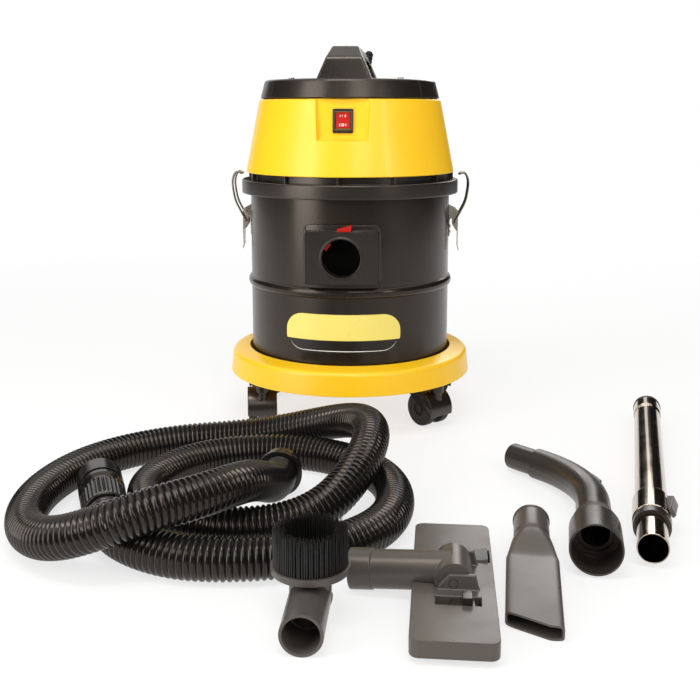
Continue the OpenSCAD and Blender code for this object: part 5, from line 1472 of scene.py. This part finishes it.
class VACUUM_OT_crevice_tool(PieceOperator):
    """Makes the flat crevice tool with its slanted mouth and tapered spine"""

    bl_idname = "vacuum.crevice_tool"
    bl_label = "Crevice tool"

    def execute(self, context):
        dip = math.degrees(math.atan2(SOCKET_R - CREVICE_T / 2, CREVICE_NECK_Y))
        at = (laid(CREVICE_AT, CREVICE_TURN) @ shift(0, CREVICE_NECK_Y, SOCKET_R) @ turn(dip, "X")
              @ shift(0, -CREVICE_NECK_Y, 0))
        tube_r = SOCKET_R - 0.9
        flat_w, flat_h = CREVICE_W / 2, CREVICE_T / 2
        rings = [self.section(y, flat_w, flat_h, 7) for y in CREVICE_FLAT]
        for k in range(1, CREVICE_NECK_STEPS + 1):
            share = k / CREVICE_NECK_STEPS
            y = CREVICE_BODY_Y + (CREVICE_NECK_Y - 4 - CREVICE_BODY_Y) * share
            half_w = flat_w + (tube_r - flat_w) * share
            half_h = flat_h + (tube_r - 2 - flat_h) * smooth_step(share)
            rings.append(self.section(y, half_w, half_h, 7 - 5 * share ** 0.6))
        socket = [(CREVICE_NECK_Y - 2, tube_r - 0.6), (CREVICE_NECK_Y - 1, tube_r),
                  (CREVICE_NECK_Y + 6, tube_r), (CREVICE_L - 6, tube_r), (CREVICE_L - 3, tube_r),
                  (CREVICE_L - 2.5, SOCKET_R), (CREVICE_L - 0.6, SOCKET_R),
                  (CREVICE_L, SOCKET_R - 0.6), (CREVICE_L, SOCKET_BORE_R + 0.3),
                  (CREVICE_L - 1, SOCKET_BORE_R), (CREVICE_NECK_Y + 1, SOCKET_BORE_R),
                  (CREVICE_NECK_Y + 1, CREVICE_BORE_R), (CREVICE_NECK_Y - 10, CREVICE_BORE_R)]
        for y, r in socket:
            rings.append([Vector((x, y, z)) for x, z in squared_ring(r, r, 2)])
        bore_w, bore_h = flat_w - CREVICE_WALL, flat_h - CREVICE_WALL
        for y in CREVICE_BORE:
            share = min(max((y - CREVICE_BODY_Y) / 40, 0), 1)
            half_w = bore_w + (CREVICE_BORE_R - flat_w + CREVICE_WALL) * share
            half_h = bore_h + (CREVICE_BORE_R - flat_h + CREVICE_WALL) * share
            rings.append(self.section(y, half_w, half_h, 7 - 5 * share, spine=False))
        piece("crevice_tool_body", Shape().rings(rings, loop=True), finish("tool_grey"), "machine",
              at, ["crevice_tool"], crease=42)
        return {"FINISHED"}

    @staticmethod
    def section(y, half_w, half_h, power, spine=True):
        """One cross-section; its mouth end leans back along the slant."""
        ring = []
        up = y - CREVICE_SPINE_END
        reach = CREVICE_NECK_Y - CREVICE_SPINE_END
        ridge = smooth_step(up / 14) * up / reach if spine else 0
        ridge_w = 3 + 11 * max(0, up / reach)
        for x, z in squared_ring(half_w, half_h, power):
            slant = CREVICE_SLANT * min(max((CREVICE_W / 2 - 12 - x) / (CREVICE_W - 12), 0), 1)
            lean = slant * max(0, 1 - y / 80)
            if z > 0 and ridge > 0:
                z = max(z, (SOCKET_R - 3) * ridge * math.sqrt(max(0, 1 - (x / ridge_w) ** 2)))
            ring.append(Vector((x, y + lean, z)))
        return ring


# ---- floor tool and dusting brush ----
TUFT_SIDES = 5


def bristle(shape, foot, tip, r):
    """One clump of bristles, tapering to its tip."""
    angles = [2 * math.pi * k / TUFT_SIDES for k in range(TUFT_SIDES)]
    rings = []
    for point, width in ((foot, r), (foot.lerp(tip, 0.6), r * 0.95), (tip, r * 0.45)):
        rings.append([point + Vector((width * math.cos(a), width * math.sin(a), 0))
                      for a in angles])
    shape.rings(rings)


STRIP_X = 26
STRIP_TOP = 11
STRIP_ROWS = 3
STRIP_ROW_GAP = 1.5
STRIP_TUFT_PITCH = 2.1
STRIP_RUNS = ((-STRIP_X, 30, 105), (-STRIP_X, -105, -30), (STRIP_X, -105, 105))  # x, from y, to y


class VACUUM_OT_floor_tool(PieceOperator):
    """Makes the floor tool with its neck, pedal, lever and bristle strips"""

    bl_idname = "vacuum.floor_tool"
    bl_label = "Floor tool"

    def execute(self, context):
        size = context.scene.vacuum_sizes
        softened("floor_tool_body", finish("tool_grey"), 1.1, angle=40)
        softened("floor_tool_neck", finish("tool_grey"), 0.9, angle=40)
        softened("floor_tool_pedal", finish("pedal_grey"), 0.5)
        softened("floor_tool_lever", finish("lid_black"), 0.7)
        draw = random.Random(11)
        r = size.bristle_thickness / MM / 2
        shape = Shape()
        for x, low, high in STRIP_RUNS:
            for row in range(STRIP_ROWS):
                for y in np.arange(low + 1.4, high - 2.2, STRIP_TUFT_PITCH):
                    foot = Vector((x - 1.5 + STRIP_ROW_GAP * row, y + row % 2, STRIP_TOP))
                    lean = draw.uniform(-0.2, 0.2), draw.uniform(-0.4, 0.4)
                    bristle(shape, foot, foot + Vector((*lean, -STRIP_TOP + 0.1)), r)
            holder = rounded_box(4.6, high - low - 1.4, 1)
            shape.prism(holder, STRIP_TOP - 3, STRIP_TOP, shift(x, (low + high) / 2, 0))
        piece("floor_tool_tufts", shape, finish("bristle_black"), "floor_strips",
              laid(FLOOR_AT, FLOOR_TURN), ["floor_tool_bristles"])
        return {"FINISHED"}


BRUSH_TUBE_L = 72
BRUSH_HEAD_Z = 50
BRISTLE_L = 35
BRUSH_RINGS = (24.2, 26.4, 28.6, 30.8, 33.0)
BRUSH_TUFT_PITCH = 2.3


class VACUUM_OT_dusting_brush(PieceOperator):
    """Makes the round dusting brush with its ring of bristles"""

    bl_idname = "vacuum.dusting_brush"
    bl_label = "Dusting brush"

    def execute(self, context):
        size = context.scene.vacuum_sizes
        softened("dust_brush_body", finish("tool_grey"), 0.9, angle=40)
        draw = random.Random(7)
        shape = Shape()
        r = size.bristle_thickness / MM / 2
        at = laid(BRUSH_AT)
        for ring_r in BRUSH_RINGS:
            count = round(2 * math.pi * ring_r / BRUSH_TUFT_PITCH)
            for k in range(count):
                a = 2 * math.pi * (k + draw.uniform(-0.2, 0.2)) / count
                foot = Vector((ring_r * math.cos(a), BRUSH_TUBE_L + ring_r * math.sin(a),
                               BRUSH_HEAD_Z))
                spread = draw.uniform(-0.9, 0.6)
                height = BRISTLE_L * draw.uniform(0.94, 1)
                tip = foot + Vector((spread * math.cos(a), spread * math.sin(a), height))
                bristle(shape, foot, tip, r)
        piece("dust_brush_tufts", shape, finish("bristle_black"), "machine", at,
              ["dust_brush_bristles"])
        return {"FINISHED"}


# ---- stage ----
CAMERA_AT = (109, -1484, 449.3)  # from the drum's axis, in millimetres
CAMERA_HEADING = 4.2
CAMERA_PITCH = 8.8
CAMERA_LENS = 51.2
CAMERA_SENSOR = 36
CAMERA_SHIFT_Y = -0.12
WARM_LIGHT = (1, 0.985, 0.96)
# The soft lamps: name, place and target in metres, where the target's x is on the drum's axis,
# then width and height, watts and colour.
LAMPS = (
    ("key", (-1.34, -0.95, 0.68), (0.27, 0.3), (0.85, 1.3), 15.5, WARM_LIGHT),
    ("front", (0.4, -1.5, 1.2), (0.2, 0.3), (0.8, 0.5), 6, WARM_LIGHT),
    ("fill", (1.5, -1.3, 0.9), (0.1, 0.2), (0.3, 0.8), 6, (1, 0.98, 0.95)),
    ("top", (-0.25, -0.85, 2.1), (0.1, 0.2), (1.3, 0.5), 18, (1, 1, 1)),
    ("back", (0.3, 2.1, 1.3), (0.1, 0.2), (1.2, 0.8), 13, (1, 1, 1)),
)
# Corners of a studio's black cards round the set, in metres: dark stripes in gloss and chrome.
BLACK_CARDS = {
    "card_front": [(-3, -3.2, 0.02), (3, -3.2, 0.02), (3, -3.2, 3), (-3, -3.2, 3)],
    "card_floor": [(-3, -3.2, 0.01), (3, -3.2, 0.01), (3, -1.25, 0.01), (-3, -1.25, 0.01)],
    "card_left": [(-3, -3.2, 0.02), (-3, 3.3, 0.02), (-3, 3.3, 3), (-3, -3.2, 3)],
    "card_right": [(2.2, -3.2, 0.02), (2.2, 3.3, 0.02), (2.2, 3.3, 3), (2.2, -3.2, 3)],
    "card_back_left": [(-1.0, 3.3, 0.02), (0.5, 3.3, 0.02), (0.5, 3.3, 2.6), (-1.0, 3.3, 2.6)],
    "card_back_right": [(0.9, 3.3, 0.02), (2.2, 3.3, 0.02), (2.2, 3.3, 2.6), (0.9, 3.3, 2.6)],
}
CARD_BLACK = (0.02, 0.02, 0.02, 1)
FLOOR_GREY = (0.9, 0.9, 0.9, 1)
FLOOR_SIZE = 60
WORLD_FILL = 0.5
# Nearest and furthest distance of the floor's glow in metres, and its share at each.
FLOOR_GLOW = {"From Min": 0.75, "From Max": 2.2, "To Min": 0.72, "To Max": 1.0}


def soft_lamp(name, at, target, size, power, colour):
    """A soft box at a place, turned towards a target."""
    lamp = bpy.data.lights.new(name, "AREA")
    lamp.shape = "RECTANGLE"
    lamp.size, lamp.size_y = size
    lamp.energy = power
    lamp.color = colour
    made = linked(name, lamp)
    made.location = at
    made.rotation_euler = (Vector(target) - Vector(at)).to_track_quat("-Z", "Y").to_euler()


def plain_node(tree, kind, operation=None, **settings):
    """A node with some of its inputs set by name."""
    made = tree.nodes.new(kind)
    if operation:
        made.operation = operation
    for key, value in settings.items():
        made.inputs[key.replace("_", " ")].default_value = value
    return made


def mixed(tree, share, first, second, end):
    """Mixes two shaders by a share and leads the result to a socket."""
    mix = tree.nodes.new("ShaderNodeMixShader")
    for source, socket in zip((share, first.outputs[0], second.outputs[0]), mix.inputs):
        tree.links.new(source, socket)
    tree.links.new(mix.outputs[0], end)


def seen_rays(tree):
    """1 for rays that show the background: straight ones, reflections and those through glass."""
    path = tree.nodes.new("ShaderNodeLightPath")
    total = path.outputs["Is Camera Ray"]
    for name in ("Is Glossy Ray", "Is Transmission Ray"):
        either = plain_node(tree, "ShaderNodeMath", "MAXIMUM")
        tree.links.new(total, either.inputs[0])
        tree.links.new(path.outputs[name], either.inputs[1])
        total = either.outputs[0]
    return total


def studio_world():
    """A world that looks white and lights the object at a plain level."""
    world = bpy.data.worlds.new("studio")
    bpy.context.scene.world = world
    world.use_nodes = True
    tree = world.node_tree
    tree.nodes.clear()
    seen = plain_node(tree, "ShaderNodeBackground", Color=WHITE, Strength=1)
    fill = plain_node(tree, "ShaderNodeBackground", Color=(*WARM_LIGHT, 1), Strength=WORLD_FILL)
    output = tree.nodes.new("ShaderNodeOutputWorld")
    mixed(tree, seen_rays(tree), fill, seen, output.inputs["Surface"])


def matt(name, colour, roughness, specular):
    """A plain material for the stage."""
    material = bpy.data.materials.new(name)
    material.use_nodes = True
    shader = material.node_tree.nodes["Principled BSDF"]
    shader.inputs["Base Color"].default_value = colour
    shader.inputs["Roughness"].default_value = roughness
    shader.inputs["Specular IOR Level"].default_value = specular
    return material


def pale_floor():
    """The floor's material: white to the eye, more so further out, and it keeps the shadow."""
    material = matt("pale_floor", FLOOR_GREY, 0.9, 0.1)
    tree = material.node_tree
    place = tree.nodes.new("ShaderNodeTexCoord")
    far = plain_node(tree, "ShaderNodeVectorMath", "LENGTH")
    tree.links.new(place.outputs["Object"], far.inputs[0])
    glow_share = plain_node(tree, "ShaderNodeMapRange", **FLOOR_GLOW)
    tree.links.new(far.outputs["Value"], glow_share.inputs["Value"])
    glow = plain_node(tree, "ShaderNodeEmission", Color=WHITE, Strength=1)
    share = plain_node(tree, "ShaderNodeMath", "MULTIPLY")
    tree.links.new(seen_rays(tree), share.inputs[0])
    tree.links.new(glow_share.outputs["Result"], share.inputs[1])
    mixed(tree, share.outputs[0], tree.nodes["Principled BSDF"], glow,
          tree.nodes["Material Output"].inputs["Surface"])
    return material


def stage_plane(name, corners, material, seen=True):
    """A flat piece of the stage; one that isn't seen still shows in gloss and chrome."""
    data = bpy.data.meshes.new(name)
    data.from_pydata(corners, [], [(0, 1, 2, 3)])
    data.materials.append(material)
    made = linked(name, data)
    made.visible_camera = made.visible_diffuse = made.visible_shadow = seen


class VACUUM_OT_stage(PieceOperator):
    """Sets up the pale floor, the soft lamps, the black cards and the camera"""

    bl_idname = "vacuum.stage"
    bl_label = "Stage"

    def execute(self, context):
        half = FLOOR_SIZE / 2
        floor = [(-half, -half, 0), (half, -half, 0), (half, half, 0), (-half, half, 0)]
        stage_plane("floor", floor, pale_floor())
        for name, at, target, area, power, colour in LAMPS:
            soft_lamp(name, at, (AXIS.x * MM, *target), area, power, colour)
        for name, corners in BLACK_CARDS.items():
            stage_plane(name, corners, matt(name, CARD_BLACK, 1, 0), seen=False)
        studio_world()
        lens = bpy.data.cameras.new("camera")
        lens.lens = CAMERA_LENS
        lens.sensor_width = CAMERA_SENSOR
        lens.shift_y = CAMERA_SHIFT_Y
        camera = linked("camera", lens)
        camera.location = (AXIS + Vector(CAMERA_AT)) * MM
        camera.rotation_euler = (math.radians(90 - CAMERA_PITCH), 0, math.radians(CAMERA_HEADING))
        bpy.context.scene.camera = camera
        bpy.context.scene.view_settings.view_transform = "Standard"
        return {"FINISHED"}


OPERATORS = (VACUUM_OT_stage, VACUUM_OT_hose, VACUUM_OT_drum, VACUUM_OT_base_ring,
             VACUUM_OT_casters, VACUUM_OT_inlet, VACUUM_OT_label, VACUUM_OT_latches,
             VACUUM_OT_head_base, VACUUM_OT_head_shell, VACUUM_OT_top_cover, VACUUM_OT_switch,
             VACUUM_OT_motor, VACUUM_OT_filter, VACUUM_OT_wand, VACUUM_OT_grip,
             VACUUM_OT_crevice_tool, VACUUM_OT_floor_tool, VACUUM_OT_dusting_brush)


class VACUUM_PT_pieces(Panel):
    """Lists the pieces and what a user would change"""

    bl_label = "Drum vacuum cleaner"
    bl_idname = "VACUUM_PT_pieces"
    bl_space_type = "VIEW_3D"
    bl_region_type = "UI"
    bl_category = "Vacuum"

    def draw(self, context):
        """Draws the sizes, the colours and a button for each operator."""
        for group in (context.scene.vacuum_sizes, context.scene.vacuum_finishes):
            box = self.layout.box()
            for name in group.__annotations__:
                box.prop(group, name)
        for operator in OPERATORS:
            self.layout.operator(operator.bl_idname)


CLASSES = (VacuumSizes, VacuumFinishes, *OPERATORS, VACUUM_PT_pieces)


def register():
    """Registers the classes and hangs the sizes and colours on the scene."""
    for cls in CLASSES:
        bpy.utils.register_class(cls)
    bpy.types.Scene.vacuum_sizes = PointerProperty(type=VacuumSizes)
    bpy.types.Scene.vacuum_finishes = PointerProperty(type=VacuumFinishes)


def unregister():
    """Undoes what register does."""
    del bpy.types.Scene.vacuum_sizes
    del bpy.types.Scene.vacuum_finishes
    for cls in reversed(CLASSES):
        bpy.utils.unregister_class(cls)


def main():
    """Builds every piece."""
    register()
    for operator in OPERATORS:
        group, name = operator.bl_idname.split(".")
        getattr(getattr(bpy.ops, group), name)()


if __name__ == "__main__":
    main()
